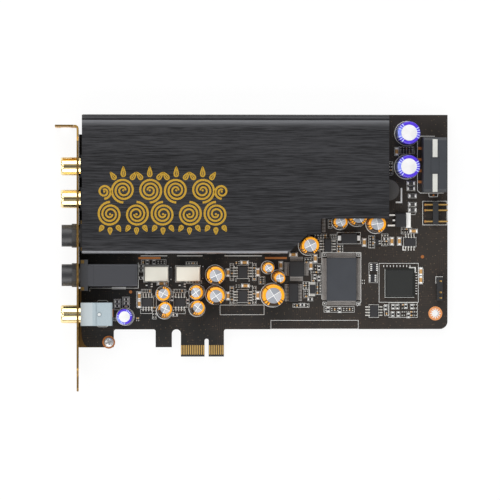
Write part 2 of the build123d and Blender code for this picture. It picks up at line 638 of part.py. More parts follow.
def phono_sockets():
    inner = PHONO_SHELL_DIAMETER - 2 * PHONO_SHELL_WALL
    leaf_top = AXIS_Z - PHONO_BORE_DIAMETER / 2 + LEAF_WIDTH / 2
    leaf_end = PHONO_BORE_END_X
    for y in PHONO_YS:
        shell = rod_x(-PHONO_SHELL_REACH, PHONO_FRONT_X, y, AXIS_Z, PHONO_SHELL_DIAMETER)
        keep("phono_shells", shell - rod_x(-PHONO_SHELL_REACH - 1, 1, y, AXIS_Z, inner))
        keep("phono_contacts", block(
            leaf_end - PHONO_LEAF_LENGTH, leaf_end, y - LEAF_WIDTH / 2, y + LEAF_WIDTH / 2,
            leaf_top - LEAF_THICKNESS, leaf_top,
        ))
    for y in LINE_OUT_YS:
        keep("line_out_housings", phono_housing(y))
    nub_low = TOP + PHONO_HEIGHT - PHONO_STEP
    nub = small_rod_z(
        PHONO_STEP_X + NUB_SET_BACK, DIGITAL_OUT_Y, nub_low, nub_low + NUB_HEIGHT, NUB_DIAMETER, NUB_SIDES
    )
    keep("digital_out_housing", phono_housing(DIGITAL_OUT_Y) + nub)


def jack_body(y):
    """A moulded jack: a long case, a wide front flange and the round nose that carries the nut."""
    half = JACK_WIDTH / 2
    flange_back = JACK_FLANGE_X + JACK_FLANGE_DEPTH
    case = block(flange_back, JACK_BACK_X, y - half, y + half, TOP, TOP + JACK_HEIGHT)
    case = chamfer(case.faces().sort_by(Axis.Z)[-1].edges().filter_by(Axis.X), JACK_EDGE_CHAMFER)
    flange = JACK_FLANGE_WIDTH / 2
    case += block(JACK_FLANGE_X, flange_back, y - flange, y + flange, TOP, TOP + JACK_HEIGHT)
    case += rod_x(-JACK_NOSE_REACH, JACK_FLANGE_X, y, AXIS_Z, JACK_NOSE_DIAMETER)
    case -= rod_x(-JACK_NOSE_REACH - 1, JACK_BORE_END_X, y, AXIS_Z, JACK_BORE_DIAMETER)
    pocket = LEAF_WIDTH / 2 + LEAF_CLEARANCE
    roof = AXIS_Z + JACK_BORE_DIAMETER / 2 + LEAF_THICKNESS
    leaf_x = JACK_BORE_END_X - JACK_LEAF_LENGTH
    return case - block(leaf_x, JACK_BORE_END_X, y - pocket, y + pocket, AXIS_Z, roof)


def jack_nut(y):
    """A faceted ring nut that clamps the bracket against the jack."""
    left = BRACKET_OUT_X - NUT_DEPTH
    nut = small_rod_x(left, BRACKET_OUT_X, y, AXIS_Z, NUT_DIAMETER, NUT_SIDES)
    bore = JACK_NOSE_DIAMETER / math.cos(math.pi / NUT_BORE_SIDES)
    return nut - small_rod_x(left - 1, BRACKET_OUT_X + 1, y, AXIS_Z, bore, NUT_BORE_SIDES)


def jack_sockets():
    clip_y = JACK_FLANGE_WIDTH / 2 - CLIP_INSET - CLIP_SIZE / 2
    clip_x = JACK_FLANGE_X + CLIP_INSET + CLIP_SIZE / 2
    leaf_top = AXIS_Z + JACK_BORE_DIAMETER / 2 + LEAF_THICKNESS
    for y in JACK_YS:
        keep("jack_bodies", jack_body(y))
        keep("jack_nuts", jack_nut(y))
        keep("jack_tip_contacts", block(
            JACK_BORE_END_X - JACK_LEAF_LENGTH, JACK_BORE_END_X, y - LEAF_WIDTH / 2, y + LEAF_WIDTH / 2,
            leaf_top - LEAF_THICKNESS, leaf_top,
        ))
        for side in (-1, 1):
            clip = (CLIP_SIZE, CLIP_SIZE, CLIP_THICKNESS)
            keep("jack_corner_clips", slab(clip_x, y + side * clip_y, clip, TOP + JACK_HEIGHT))


def radial_capacitor(size, x, y, lean_x, lean_y):
    """A can that stands on the board, leaning on the rim of its base where it isn't upright."""
    diameter, height = size
    can = Pos(0, 0, height / 2) * Cylinder(diameter / 2, height)
    lean = math.hypot(lean_x, lean_y)
    if lean == 0:
        return Pos(x, y, TOP) * can
    tilt = math.degrees(math.asin(lean / height))
    heading = math.degrees(math.atan2(lean_y, lean_x))
    lift = diameter / 2 * math.sin(math.radians(tilt))
    return Pos(x, y, TOP + lift) * Rot(0, 0, heading) * Rot(0, tilt, 0) * Rot(0, 0, -heading) * can


def capacitors():
    for cap in AUDIO_CAPS:
        keep("audio_capacitors", radial_capacitor(*cap))
    for cap in SUPPLY_CAPS:
        keep("supply_capacitors", radial_capacitor(*cap))
    for x, y in FILM_CAPS:
        keep("film_capacitors", slab(x, y, FILM_CAP_SIZE))


def relays():
    for x, y in RELAYS:
        keep("signal_relays", edged_slab(x, y, RELAY_SIZE, RELAY_EDGE))


def socketed_amplifiers():
    length, width, height = DIP_SOCKET_SIZE
    well = (length - DIP_PITCH, DIP_BODY_SIZE[1] - DIP_PITCH, height)
    for x, y in DIP_PLACES:
        keep("amplifier_sockets", slab(x, y, DIP_SOCKET_SIZE) - slab(x, y, well, TOP + 1))
        keep("output_amplifiers", edged_slab(x, y, DIP_BODY_SIZE, CHIP_EDGE, TOP + height))


def lead(outward, root_z, reach, width, thickness):
    """One lead as a wedge that leaves a package at its root and comes down to its foot on the board."""
    along = Vector(*outward).cross(Vector(0, 0, 1))
    plane = Plane(origin=(0, 0, 0), x_dir=outward, z_dir=along)
    profile = Polyline((0, root_z - thickness), (0, root_z + thickness), (reach, 0), close=True)
    return extrude(plane * make_face(profile), amount=width / 2, both=True)


def small_outline_package(name, x, y, length, width, axis):
    """A moulded body with a row of leads on its two X sides or its two Y sides."""
    keep(name + "_chips", edged_slab(x, y, (length, width, SMALL_OUTLINE_HEIGHT), CHIP_EDGE))
    for side in (-1, 1):
        outward = (side, 0, 0) if axis == "X" else (0, side, 0)
        one = lead(outward, SMALL_OUTLINE_HEIGHT / 2, LEAD_REACH, LEAD_WIDTH, LEAD_THICKNESS / 2)
        for i in range(LEAD_COUNT):
            shift = (i - (LEAD_COUNT - 1) / 2) * LEAD_PITCH
            at_x = x + outward[0] * length / 2 + abs(outward[1]) * shift
            at_y = y + outward[1] * width / 2 + abs(outward[0]) * shift
            keep(name + "_leads", Pos(at_x, at_y, TOP) * one)


def chips():
    for spec in AMPLIFIERS:
        small_outline_package("amplifier", *spec)
    for spec in LOGIC_CHIPS:
        small_outline_package("logic", *spec)
    for name, place, body in (
        ("converter_chip", CONVERTER_PLACE, CONVERTER_BODY),
        ("receiver_chip", RECEIVER_PLACE, RECEIVER_BODY),
        ("sound_processor", PROCESSOR_PLACE, PROCESSOR_BODY),
        ("output_converter", OUTPUT_CONVERTER_PLACE, OUTPUT_CONVERTER_BODY),
    ):
        keep(name, edged_slab(*place, body, CHIP_EDGE))


def bus_bridge():
    x, y = BOARD_LENGTH - BRIDGE_EDGE_GAP, BRIDGE_Y
    laminate_z = TOP + BRIDGE_STAND_OFF
    keep("bridge_laminate", slab(x, y, BRIDGE_LAMINATE, laminate_z))
    keep("bus_bridge", edged_slab(x, y, BRIDGE_MOULD, CHIP_EDGE, laminate_z + BRIDGE_LAMINATE[2]))
    ball = (BRIDGE_BALL, BRIDGE_BALL, BRIDGE_STAND_OFF)
    half = BRIDGE_BALL_SPREAD / 2
    for dx, dy in ((-half, -half), (half, -half), (half, half), (-half, half)):
        keep("bridge_solder", slab(x + dx, y + dy, ball))


def voltage_regulator():
    x, y = BOARD_LENGTH - REGULATOR_EDGE_GAP, REGULATOR_Y
    length, width, height = REGULATOR_BODY
    keep("voltage_regulator", edged_slab(x, y, REGULATOR_BODY, CHIP_EDGE))
    keep("regulator_leads", slab(x + length / 2 + REGULATOR_TAB[0] / 2, y, REGULATOR_TAB))
    left = x - length / 2
    thickness = REGULATOR_LEAD_THICKNESS / 2
    one = lead((-1, 0, 0), height / 3, REGULATOR_LEAD_REACH, REGULATOR_LEAD_WIDTH, thickness)
    for side in (-1, 1):
        keep("regulator_leads", Pos(left, y + side * REGULATOR_LEAD_PITCH, TOP) * one)
    stub = (REGULATOR_STUB_REACH, REGULATOR_LEAD_WIDTH, REGULATOR_LEAD_THICKNESS)
    keep("regulator_leads", slab(left - REGULATOR_STUB_REACH / 2, y, stub, TOP + height / 3))


def two_terminal_part(name, place, body, terminal, along_x):
    """A moulded body with a metal terminal at each end."""
    x, y = place
    keep(name, edged_slab(x, y, body, CHIP_EDGE))
    for side in (-1, 1):
        if along_x:
            at = (x + side * (body[0] + terminal[0]) / 2, y)
        else:
            at = (x, y + side * (body[1] + terminal[1]) / 2)
        keep(name + "_terminals", slab(*at, terminal))


def power_parts():
    voltage_regulator()
    two_terminal_part("power_diode", DIODE, DIODE_BODY, DIODE_TERMINAL, True)
    two_terminal_part("polarised_chip", TANTALUM, TANTALUM_BODY, TANTALUM_TERMINAL, False)
    diameter, height = INDUCTOR_SIZE
    x = BOARD_LENGTH - INDUCTOR_EDGE_GAP
    keep("power_inductor", small_rod_z(x, INDUCTOR_Y, TOP, TOP + height, diameter, INDUCTOR_SIDES))
    for x, y in TRANSISTORS:
        keep("transistors", slab(x, y, TRANSISTOR_BODY))


def small_chips():
    for name, size, near, far in (
        ("chip_capacitors", CHIP_CAP_SIZE, CHIP_CAPS, CHIP_CAPS_FROM_RIGHT),
        ("chip_resistors", CHIP_RESISTOR_SIZE, CHIP_RESISTORS, CHIP_RESISTORS_FROM_RIGHT),
    ):
        length, width, height = size
        for x, y, axis in (*near, *[(BOARD_LENGTH - inset, y, axis) for inset, y, axis in far]):
            laid = (length, width, height) if axis == "X" else (width, length, height)
            keep(name, slab(x, y, laid))
    for x, y in NETWORKS:
        keep("resistor_networks", slab(x, y, NETWORK_SIZE))
    for x, y in CLAMP_DIODES:
        keep("clamp_diodes", slab(x, y, CLAMP_DIODE_SIZE))


def power_pin_y(index):
    """Where a pin of the power socket stands."""
    return POWER_MIDDLE_Y + (index - (POWER_PIN_COUNT - 1) / 2) * POWER_PIN_PITCH


def power_socket():
    back = POWER_BACK_X
    top = TOP + POWER_HEIGHT
    side = Plane(origin=(back, 0, 0), x_dir=(0, 1, 0), z_dir=(1, 0, 0))
    outside = Pos(POWER_MIDDLE_Y, (TOP + top) / 2) * Rectangle(POWER_WIDTH, POWER_HEIGHT)
    outside = chamfer(outside.vertices().group_by(Axis.Y)[-1], POWER_WALL)
    opening = Rectangle(POWER_WIDTH - 2 * POWER_WALL, POWER_HEIGHT - 2 * POWER_WALL)
    inside = Pos(POWER_MIDDLE_Y, (TOP + top) / 2) * opening
    inside = chamfer(inside.vertices().group_by(Axis.Y)[-1], POWER_KEY_CHAMFER)
    housing = extrude(side * outside, amount=POWER_DEPTH)
    housing -= Pos(POWER_BACK_WALL, 0, 0) * extrude(side * inside, amount=POWER_DEPTH)
    panel_x = POWER_MOUTH_X - POWER_BAR_SET_BACK
    length, width, depth = POWER_PANEL
    panel_y = POWER_MIDDLE_Y + POWER_PANEL_SHIFT
    housing -= slab(panel_x, panel_y, (length, width, depth), top - depth)
    keep("power_socket", housing)
    for side_sign in (-1, 1):
        y = panel_y + side_sign * (POWER_PANEL[1] + POWER_BAR[1]) / 2
        keep("power_socket_bars", slab(panel_x, y, POWER_BAR, top))
    axis_z = (TOP + top) / 2
    tip = POWER_MOUTH_X - POWER_PIN_TIP_SET_BACK
    for i in range(POWER_PIN_COUNT):
        y = power_pin_y(i)
        keep("power_pins", small_rod_x(back + POWER_BACK_WALL, tip, y, axis_z, POWER_PIN_DIAMETER))
        half = POWER_TAIL / 2
        tail = block(POWER_TAIL_X - half, back, y - half, y + half, TOP, TOP + POWER_TAIL)
        keep("power_tails", tail)


def pin_headers():
    half = HEADER_PIN / 2
    block_half = HEADER_PITCH / 2
    pin_z = TOP + block_half
    last_y = SIDE_HEADER_FIRST_Y - (HEADER_PLACE_COUNT - 1) * HEADER_PITCH
    keep("side_header", block(
        SIDE_HEADER_X - block_half, SIDE_HEADER_X + block_half, last_y - block_half,
        SIDE_HEADER_FIRST_Y + block_half, TOP, TOP + HEADER_PITCH,
    ))
    for i in SIDE_HEADER_PINS:
        y = SIDE_HEADER_FIRST_Y - i * HEADER_PITCH
        left, right = SIDE_HEADER_X - block_half, SIDE_HEADER_X + block_half
        inner = block(SIDE_HEADER_TAIL_X - half, left, y - half, y + half, pin_z - half, pin_z + half)
        inner += block(
            SIDE_HEADER_TAIL_X - half, SIDE_HEADER_TAIL_X + half, y - half, y + half, TOP, pin_z - half
        )
        outer = block(right, BOARD_LENGTH, y - half, y + half, pin_z - half, pin_z + half)
        keep("side_header_pins", inner, outer)
    x, first_y = UPRIGHT_HEADER
    low = first_y - (HEADER_PLACE_COUNT - 0.5) * HEADER_PITCH
    keep("upright_header", block(
        x - block_half, x + block_half, low, first_y + block_half, TOP, TOP + HEADER_PITCH
    ))
    for i in UPRIGHT_HEADER_PINS:
        y = first_y - i * HEADER_PITCH
        keep("upright_header_pins", block(
            x - half, x + half, y - half, y + half, TOP + HEADER_PITCH, TOP + UPRIGHT_PIN_HEIGHT
        ))


def solder_joints():
    places = [(POWER_TAIL_X, power_pin_y(i)) for i in range(POWER_PIN_COUNT)]
    places += [(SIDE_HEADER_TAIL_X, SIDE_HEADER_FIRST_Y - i * HEADER_PITCH) for i in SIDE_HEADER_PINS]
    places += [(UPRIGHT_HEADER[0], UPRIGHT_HEADER[1] - i * HEADER_PITCH) for i in UPRIGHT_HEADER_PINS]
    for y in PHONO_YS:
        places += [(PHONO_STEP_X, y), (PHONO_BACK_X - 2, y)]
    for y in JACK_YS:
        places += [(6.5, y - 3.5), (6.5, y + 3.5), (22.5, y)]
    low, high = (JOINT_SIZE - JOINT_TIP) / 2, (JOINT_SIZE + JOINT_TIP) / 2
    joint = Rot(-90, 0, 0) * Wedge(JOINT_SIZE, JOINT_HEIGHT, JOINT_SIZE, low, low, high, high)
    for x, y in places:
        keep("solder_joints", Pos(x, y, -JOINT_HEIGHT / 2) * joint)


def build():
    circuit_board()
    edge_contacts()
    ground_strips()
    slot_bracket()
    bracket_screw()
    shield_cover()
    phono_sockets()
    jack_sockets()
    capacitors()
    relays()
    socketed_amplifiers()
    chips()
    bus_bridge()
    power_parts()
    small_chips()
    power_socket()
    pin_headers()
    solder_joints()
    parts = {
        name: Compound([solid for group in solids for solid in group.solids()])
        for name, solids in nodes.items()
    }
    box = Compound(list(parts.values())).bounding_box()
    to_base = Pos(-(box.min.X + box.max.X) / 2, -(box.min.Y + box.max.Y) / 2, -box.min.Z)
    os.makedirs("parts", exist_ok=True)
    for name, part in parts.items():
        export_step(to_base * part, f"parts/{name}.step")
    print("origin at", [round(v, 3) for v in to_base.position])


build()
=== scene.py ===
# %% [markdown]
# # Dressing a sound card
#
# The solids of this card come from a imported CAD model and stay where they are. This lesson gives
# them their finishes, and replaces the plain ones with pieces that show what the real ones show:
# sleeves with stripes, gull-wing leads, plated shells, printed outlines. Everything is measured in
# millimetres on the board's own grid, and turned into metres at the very end.

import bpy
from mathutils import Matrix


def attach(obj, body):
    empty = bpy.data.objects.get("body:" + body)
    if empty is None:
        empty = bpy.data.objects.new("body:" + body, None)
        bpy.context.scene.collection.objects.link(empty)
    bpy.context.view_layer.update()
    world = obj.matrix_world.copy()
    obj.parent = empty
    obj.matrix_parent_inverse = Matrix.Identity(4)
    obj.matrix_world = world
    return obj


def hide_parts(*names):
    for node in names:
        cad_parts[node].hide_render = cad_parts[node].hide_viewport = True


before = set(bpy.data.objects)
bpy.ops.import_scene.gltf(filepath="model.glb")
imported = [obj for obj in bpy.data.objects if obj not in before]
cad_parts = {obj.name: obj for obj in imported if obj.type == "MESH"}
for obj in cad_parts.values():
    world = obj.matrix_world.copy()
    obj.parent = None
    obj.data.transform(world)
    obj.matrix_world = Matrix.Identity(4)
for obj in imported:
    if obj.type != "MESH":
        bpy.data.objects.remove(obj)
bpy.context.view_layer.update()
print("solids loaded:", len(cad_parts))

# %% Tools and the board's grid
import math

import bpy
from mathutils import Matrix, Vector

GRID_TO_ROW = Vector((-78.475, -47.3, 2.5))
BOARD_TOP = 1.57
SOCKET_AXIS = BOARD_TOP + 5.9
PRINT_Z = BOARD_TOP + 0.012


def to_metres(point):
    return (Vector(point) + GRID_TO_ROW) * 0.001


print("the board's top lies", round(to_metres((0, 0, BOARD_TOP)).z * 1000, 2), "mm above the floor")

# %% [markdown]
# ## Writing shaders as sums
#
# A finish is a small program: where on the surface, how dark, how rough. Node trees for it are
# tedious to place one node at a time, so a wrapper turns a socket into something that can be
# added, multiplied and compared. Each sign adds one Math node, and one method adds any other node.

# %% A socket that can be used in sums


class Value:
    """The output of a node, ready for sums."""

    def __init__(self, finish, socket):
        self.finish = finish
        self.socket = socket

    def __add__(self, other):
        return self.finish.math("ADD", self, other)

    def __sub__(self, other):
        return self.finish.math("SUBTRACT", self, other)

    def __rsub__(self, other):
        return self.finish.math("SUBTRACT", other, self)

    def __mul__(self, other):
        return self.finish.math("MULTIPLY", self, other)

    def __truediv__(self, other):
        return self.finish.math("DIVIDE", self, other)

    def __pow__(self, other):
        return self.finish.math("POWER", self, other)

    def __lt__(self, other):
        return self.finish.math("LESS_THAN", self, other)

    def __gt__(self, other):
        return self.finish.math("GREATER_THAN", self, other)

    def __abs__(self):
        return self.finish.math("ABSOLUTE", self)

    __radd__ = __add__
    __rmul__ = __mul__


def linear(code):
    """A colour from its six screen digits, as the shader wants it."""
    levels = [int(code[i:i + 2], 16) / 255 for i in (0, 2, 4)]
    return tuple(v / 12.92 if v <= 0.04045 else ((v + 0.055) / 1.055) ** 2.4 for v in levels) + (1.0,)


print("a mid grey is", round(linear("808080")[0], 3), "in the shader's terms")

# %% A finish is a material with one main shader


class Finish:
    """A material whose nodes are added by name, with one Principled shader at its end."""

    def __init__(self, name):
        self.material = bpy.data.materials.new(name)
        self.material.use_nodes = True
        self.tree = self.material.node_tree
        self.tree.nodes.clear()
        self.end = self.tree.nodes.new("ShaderNodeOutputMaterial")

    def node(self, kind, settings=None, sockets=None, output=0):
        made = self.tree.nodes.new(kind)
        for name, setting in (settings or {}).items():
            if name == "stops":
                ramp = made.color_ramp
                while len(ramp.elements) < len(setting):
                    ramp.elements.new(0.5)
                for element, (place, colour) in zip(ramp.elements, setting):
                    element.position = place
                    element.color = colour
            else:
                setattr(made, name, setting)
        for name, given in (sockets or {}).items():
            if isinstance(given, Value):
                self.tree.links.new(given.socket, made.inputs[name])
            else:
                made.inputs[name].default_value = given
        return Value(self, made.outputs[output])

    def math(self, operation, *terms):
        return self.node("ShaderNodeMath", {"operation": operation}, dict(enumerate(terms)))

    def mix(self, share, first, second):
        """A colour that goes from the first to the second as the share goes from 0 to 1."""
        return self.node("ShaderNodeMix", {"data_type": "RGBA"}, {0: share, 6: first, 7: second}, 2)

    def step(self, value, low, high):
        """0 below low, 1 above high and smooth between them."""
        sockets = {"Value": value, "From Min": low, "From Max": high}
        return self.node("ShaderNodeMapRange", {"interpolation_type": "SMOOTHSTEP"}, sockets)

    def object_point(self):
        return self.node("ShaderNodeTexCoord", output="Object")

    def own_point(self):
        """The point on the piece's own grid in millimetres, which leans and turns with it."""
        return self.node("ShaderNodeAttribute", {"attribute_name": "own"}, output="Vector")

    def grid_point(self):
        """The point in millimetres on the board's grid."""
        sockets = {0: self.object_point(), 1: (1000.0, 1000.0, 1000.0), 2: tuple(-GRID_TO_ROW)}
        return self.node("ShaderNodeVectorMath", {"operation": "MULTIPLY_ADD"}, sockets)

    def band(self, value, low, high, soft):
        """1 between low and high, and smoothly 0 outside them."""
        return self.step(value, low - soft, low) * self.step(value, high + soft, high)

    def axes(self, vector):
        split = self.node("ShaderNodeSeparateXYZ", sockets={"Vector": vector})
        outputs = split.socket.node.outputs
        return [Value(self, outputs[name]) for name in "XYZ"]

    def stretched(self, vector, factors):
        return self.node("ShaderNodeVectorMath", {"operation": "MULTIPLY"}, {0: vector, 1: factors})

    def noise(self, vector, scale, detail=3.0):
        sockets = {"Vector": vector, "Scale": scale, "Detail": detail}
        return self.node("ShaderNodeTexNoise", sockets=sockets)

    def surface(self, colour, roughness, metallic=0.0, height=None, distance=0.0001, **fixed):
        """The main shader. The height, where there is one, goes through a Bump node."""
        sockets = {"Base Color": colour, "Roughness": roughness, "Metallic": metallic, **fixed}
        if height is not None:
            bump = {"Height": height, "Distance": distance, "Strength": 0.6}
            sockets["Normal"] = self.node("ShaderNodeBump", sockets=bump)
        shader = self.node("ShaderNodeBsdfPrincipled", sockets=sockets)
        self.tree.links.new(shader.socket, self.end.inputs["Surface"])
        return self.material


print("finishes can be written")

# %% [markdown]
# ## Shared families of finish
#
# Most of a card is moulded plastic, plated metal or ceramic. One function makes each family, with
# the colour, the gloss and the size of its grain left open. The grain is what keeps a surface from
# looking like flat paint: slow blotches in the colour, and a fine texture in the bump.

# %% Moulded, metal and ceramic finishes


def moulded(name, colour, roughness=0.5, blotch=0.25, grain=2500.0, depth=0.00002):
    """Plastic from a mould: slow blotches and a fine matte grain."""
    finish = Finish(name)
    point = finish.object_point()
    slow = finish.noise(point, 220.0, 2.0)
    fine = finish.noise(point, grain, 2.0)
    dark = tuple(v * (1 - blotch) for v in colour[:3]) + (1.0,)
    shade = finish.mix(slow, dark, colour)
    gloss = roughness - 0.08 + fine * 0.16
    return finish.surface(shade, gloss, height=fine, distance=depth)


def metal(name, colour, roughness=0.3, streak=(1.0, 1.0, 1.0), wear=0.2, grain=1500.0, metallic=1.0):
    """Plated or rolled metal, with faint streaks along the axis of the smallest factor."""
    finish = Finish(name)
    point = finish.stretched(finish.object_point(), streak)
    fine = finish.noise(point, grain, 3.0)
    slow = finish.noise(point, 120.0, 2.0)
    dull = tuple(v * (1 - wear) for v in colour[:3]) + (1.0,)
    shade = finish.mix(slow, dull, colour)
    gloss = roughness - 0.07 + fine * 0.18
    return finish.surface(shade, gloss, metallic, height=fine, distance=0.000008)


def flat_print(name, colour, roughness=0.6):
    """Ink that lies on a surface: even, with slightly thin places."""
    finish = Finish(name)
    thin = finish.noise(finish.object_point(), 900.0, 2.0)
    faded = tuple(v * 0.8 for v in colour[:3]) + (1.0,)
    return finish.surface(finish.mix(thin, faded, colour), roughness)


print("three families of finish")

# %% [markdown]
# ## Shapes in millimetres
#
# A shape here is a heap of faces. It keeps each point twice: where it lies on the board, and where
# it lies on the part's own grid, before the part is turned, leaned and set down. Patterns such as a
# capacitor's stripe read the second one, so they lean with the can.

# %% A heap of faces that becomes one piece


class Shape:
    """Faces in millimetres on the board's grid, each with a finish."""

    def __init__(self):
        self.points = []
        self.own = []
        self.faces = []
        self.finishes = []

    def add(self, form, finish, place=None):
        points, faces = form
        start = len(self.points)
        for point in points:
            self.own.append(tuple(point))
            self.points.append(tuple(place @ Vector(point)) if place else tuple(point))
        self.faces += [tuple(start + i for i in face) for face in faces]
        self.finishes += [finish] * len(faces)

    def take(self, mesh):
        """Adds a mesh in millimetres that Geometry Nodes made, with its material."""
        start = len(self.points)
        self.points += [tuple(v.co) for v in mesh.vertices]
        kept = mesh.attributes.get("own")
        self.own += [tuple(d.vector) for d in kept.data] if kept else [tuple(v.co) for v in mesh.vertices]
        self.faces += [tuple(start + i for i in p.vertices) for p in mesh.polygons]
        self.finishes += [mesh.materials[p.material_index] for p in mesh.polygons]
        bpy.data.meshes.remove(mesh)

    def mesh(self, name, metres=True):
        made = bpy.data.meshes.new(name)
        places = [to_metres(p) for p in self.points] if metres else self.points
        made.from_pydata(places, [], self.faces)
        own = made.attributes.new("own", "FLOAT_VECTOR", "POINT")
        own.data.foreach_set("vector", [c for point in self.own for c in point])
        order = list(dict.fromkeys(self.finishes))
        for finish in order:
            made.materials.append(finish)
        made.polygons.foreach_set("material_index", [order.index(f) for f in self.finishes])
        return made

    def piece(self, name, slot, *nodes, smooth=35):
        made = self.mesh(name)
        made.polygons.foreach_set("use_smooth", [True] * len(made.polygons))
        made.set_sharp_from_angle(angle=math.radians(smooth))
        piece = bpy.data.objects.new(name, made)
        bpy.context.collection.objects.link(piece)
        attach(piece, "root")
        if nodes:
            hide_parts(*nodes)
        print(name, "has", len(made.polygons), "faces")
        return piece


# %% Turned forms and blocks


def turned(profile, sides=24, closed=False):
    """A form turned round Z. The profile runs from the axis below to the axis above, outside first."""
    points = []
    rings = []
    for radius, z in profile:
        count = 1 if radius == 0 else sides
        rings.append([len(points) + i for i in range(count)])
        for i in range(count):
            angle = math.tau * i / sides
            points.append((radius * math.cos(angle), radius * math.sin(angle), z))
    faces = []
    followers = rings[1:] + (rings[:1] if closed else [])
    for low, high in zip(rings, followers):
        for i in range(sides):
            corners = [low[i % len(low)], low[(i + 1) % sides % len(low)]]
            corners += [high[(i + 1) % sides % len(high)], high[i % len(high)]]
            face = list(dict.fromkeys(corners))
            if len(face) > 2:
                faces.append(face)
    return points, faces


def brick(size, middle=(0, 0, 0), edge=0.0):
    """A block that stands on its middle point, with its upper edges bevelled."""
    length, width, height = size
    x, y, z = middle
    rings = [(0, 0), (0, height - edge), (edge, height)] if edge else [(0, 0), (0, height)]
    points = []
    for inset, up in rings:
        for sx, sy in ((-1, -1), (1, -1), (1, 1), (-1, 1)):
            points.append((x + sx * (length / 2 - inset), y + sy * (width / 2 - inset), z + up))
    faces = [(3, 2, 1, 0), tuple(range(len(points) - 4, len(points)))]
    for ring in range(len(rings) - 1):
        for i in range(4):
            a, b = ring * 4 + i, ring * 4 + (i + 1) % 4
            faces.append((a, b, b + 4, a + 4))
    return points, faces


print("a block has", len(brick((1, 1, 1))[1]), "faces, or", len(brick((1, 1, 1), edge=0.1)[1]), "with bevels")

# %% Bands and rings
LEAST_MITRE = 0.35


def ribbon(line, width, low, high, closed=False):
    """A flat band along a line, as wide as given at each point, and mitred at its corners."""
    count = len(line)
    widths = width if isinstance(width, (list, tuple)) else [width] * count
    points = []
    for i, (x, y) in enumerate(line):
        before = line[i - 1] if i > 0 or closed else line[i]
        after = line[(i + 1) % count] if i < count - 1 or closed else line[i]
        first = Vector((x - before[0], y - before[1])).normalized() if (x, y) != tuple(before) else None
        second = Vector((after[0] - x, after[1] - y)).normalized() if (x, y) != tuple(after) else None
        first = first or second
        second = second or first
        way = (first + second).normalized()
        side = Vector((-way.y, way.x)) * widths[i] / 2 / max(LEAST_MITRE, way.dot(first))
        for z in (low, high):
            points += [(x + side.x, y + side.y, z), (x - side.x, y - side.y, z)]
    faces = []
    for i in range(count if closed else count - 1):
        a, b = 4 * i, 4 * ((i + 1) % count)
        faces += [(a + 3, b + 3, b + 2, a + 2), (a, b, b + 1, a + 1)]
        faces += [(a + 2, b + 2, b, a), (a + 1, b + 1, b + 3, a + 3)]
    if not closed:
        last = 4 * (count - 1)
        faces += [(0, 1, 3, 2), (last, last + 2, last + 3, last + 1)]
    return points, faces


def hoop(inner, outer, low, high, sides=24):
    return turned([(inner, high), (inner, low), (outer, low), (outer, high)], sides, closed=True)


def at(x, y, z=0.0, turn=0.0):
    return Matrix.Translation((x, y, z)) @ Matrix.Rotation(math.radians(turn), 4, "Z")


def facing_left(x, y, z):
    """Turns a form that points up so that it points out of the bracket."""
    return Matrix.Translation((x, y, z)) @ Matrix.Rotation(-math.pi / 2, 4, "Y")


print("a ring of 24 sides has", len(hoop(1, 2, 0, 1)[1]), "faces")

# %% [markdown]
# ## Where the solids are
#
# Many small parts are only boxes in the CAD model. Their finished pieces have to stand on the same
# spots, so this reads each node's mesh, joins the triangles that share a corner, and gives the box
# of each separate solid. Nothing is typed twice.

# %% The box of each solid in a node


def solids_of(node):
    """The lowest and highest corner of each solid in a node, in millimetres on the board's grid."""
    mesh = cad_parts[node].data
    shift = GRID_TO_ROW
    places = [Vector(v.co) * 1000 - shift for v in mesh.vertices]
    leader = {}

    def lead_of(key):
        while leader[key] != key:
            leader[key] = leader[leader[key]]
            key = leader[key]
        return key

    keys = [tuple(round(c, 3) for c in p) for p in places]
    for key in keys:
        leader.setdefault(key, key)
    for polygon in mesh.polygons:
        corners = [keys[i] for i in polygon.vertices]
        for other in corners[1:]:
            leader[lead_of(other)] = lead_of(corners[0])
    groups = {}
    for key in leader:
        groups.setdefault(lead_of(key), []).append(key)
    boxes = []
    for group in groups.values():
        low = Vector(min(p[i] for p in group) for i in range(3))
        high = Vector(max(p[i] for p in group) for i in range(3))
        boxes.append((low, high))
    return sorted(boxes, key=lambda box: tuple(box[0]))


print("the card has", len(solids_of("chip_resistors")), "small resistors")

# %% [markdown]
# ## Rows and scatters
#
# Leads repeat along a line, and small parts repeat at given spots. Two node trees do both: one
# copies its own mesh along a line a fixed pitch apart, the other sets a form on each point of a
# mesh, turned as the point says. Both end in Realize Instances and Set Material, so that what comes
# out is a plain mesh.

# %% How every tree starts and ends


def new_tree(name, inputs):
    tree = bpy.data.node_groups.new(name, "GeometryNodeTree")
    tree.interface.new_socket("Geometry", in_out="INPUT", socket_type="NodeSocketGeometry")
    sockets = {}
    for title, kind in inputs.items():
        sockets[title] = tree.interface.new_socket(title, in_out="INPUT", socket_type=kind).identifier
    tree.interface.new_socket("Geometry", in_out="OUTPUT", socket_type="NodeSocketGeometry")
    return tree, sockets, tree.nodes.new("NodeGroupInput"), tree.nodes.new("NodeGroupOutput")


def end_tree(tree, instances, start, end):
    plain = tree.nodes.new("GeometryNodeRealizeInstances")
    painted = tree.nodes.new("GeometryNodeSetMaterial")
    tree.links.new(instances.outputs["Instances"], plain.inputs["Geometry"])
    tree.links.new(plain.outputs["Geometry"], painted.inputs["Geometry"])
    tree.links.new(start.outputs["Finish"], painted.inputs["Material"])
    tree.links.new(painted.outputs["Geometry"], end.inputs["Geometry"])


print("a tree has named inputs, and ends in a plain painted mesh")

# %% The two trees


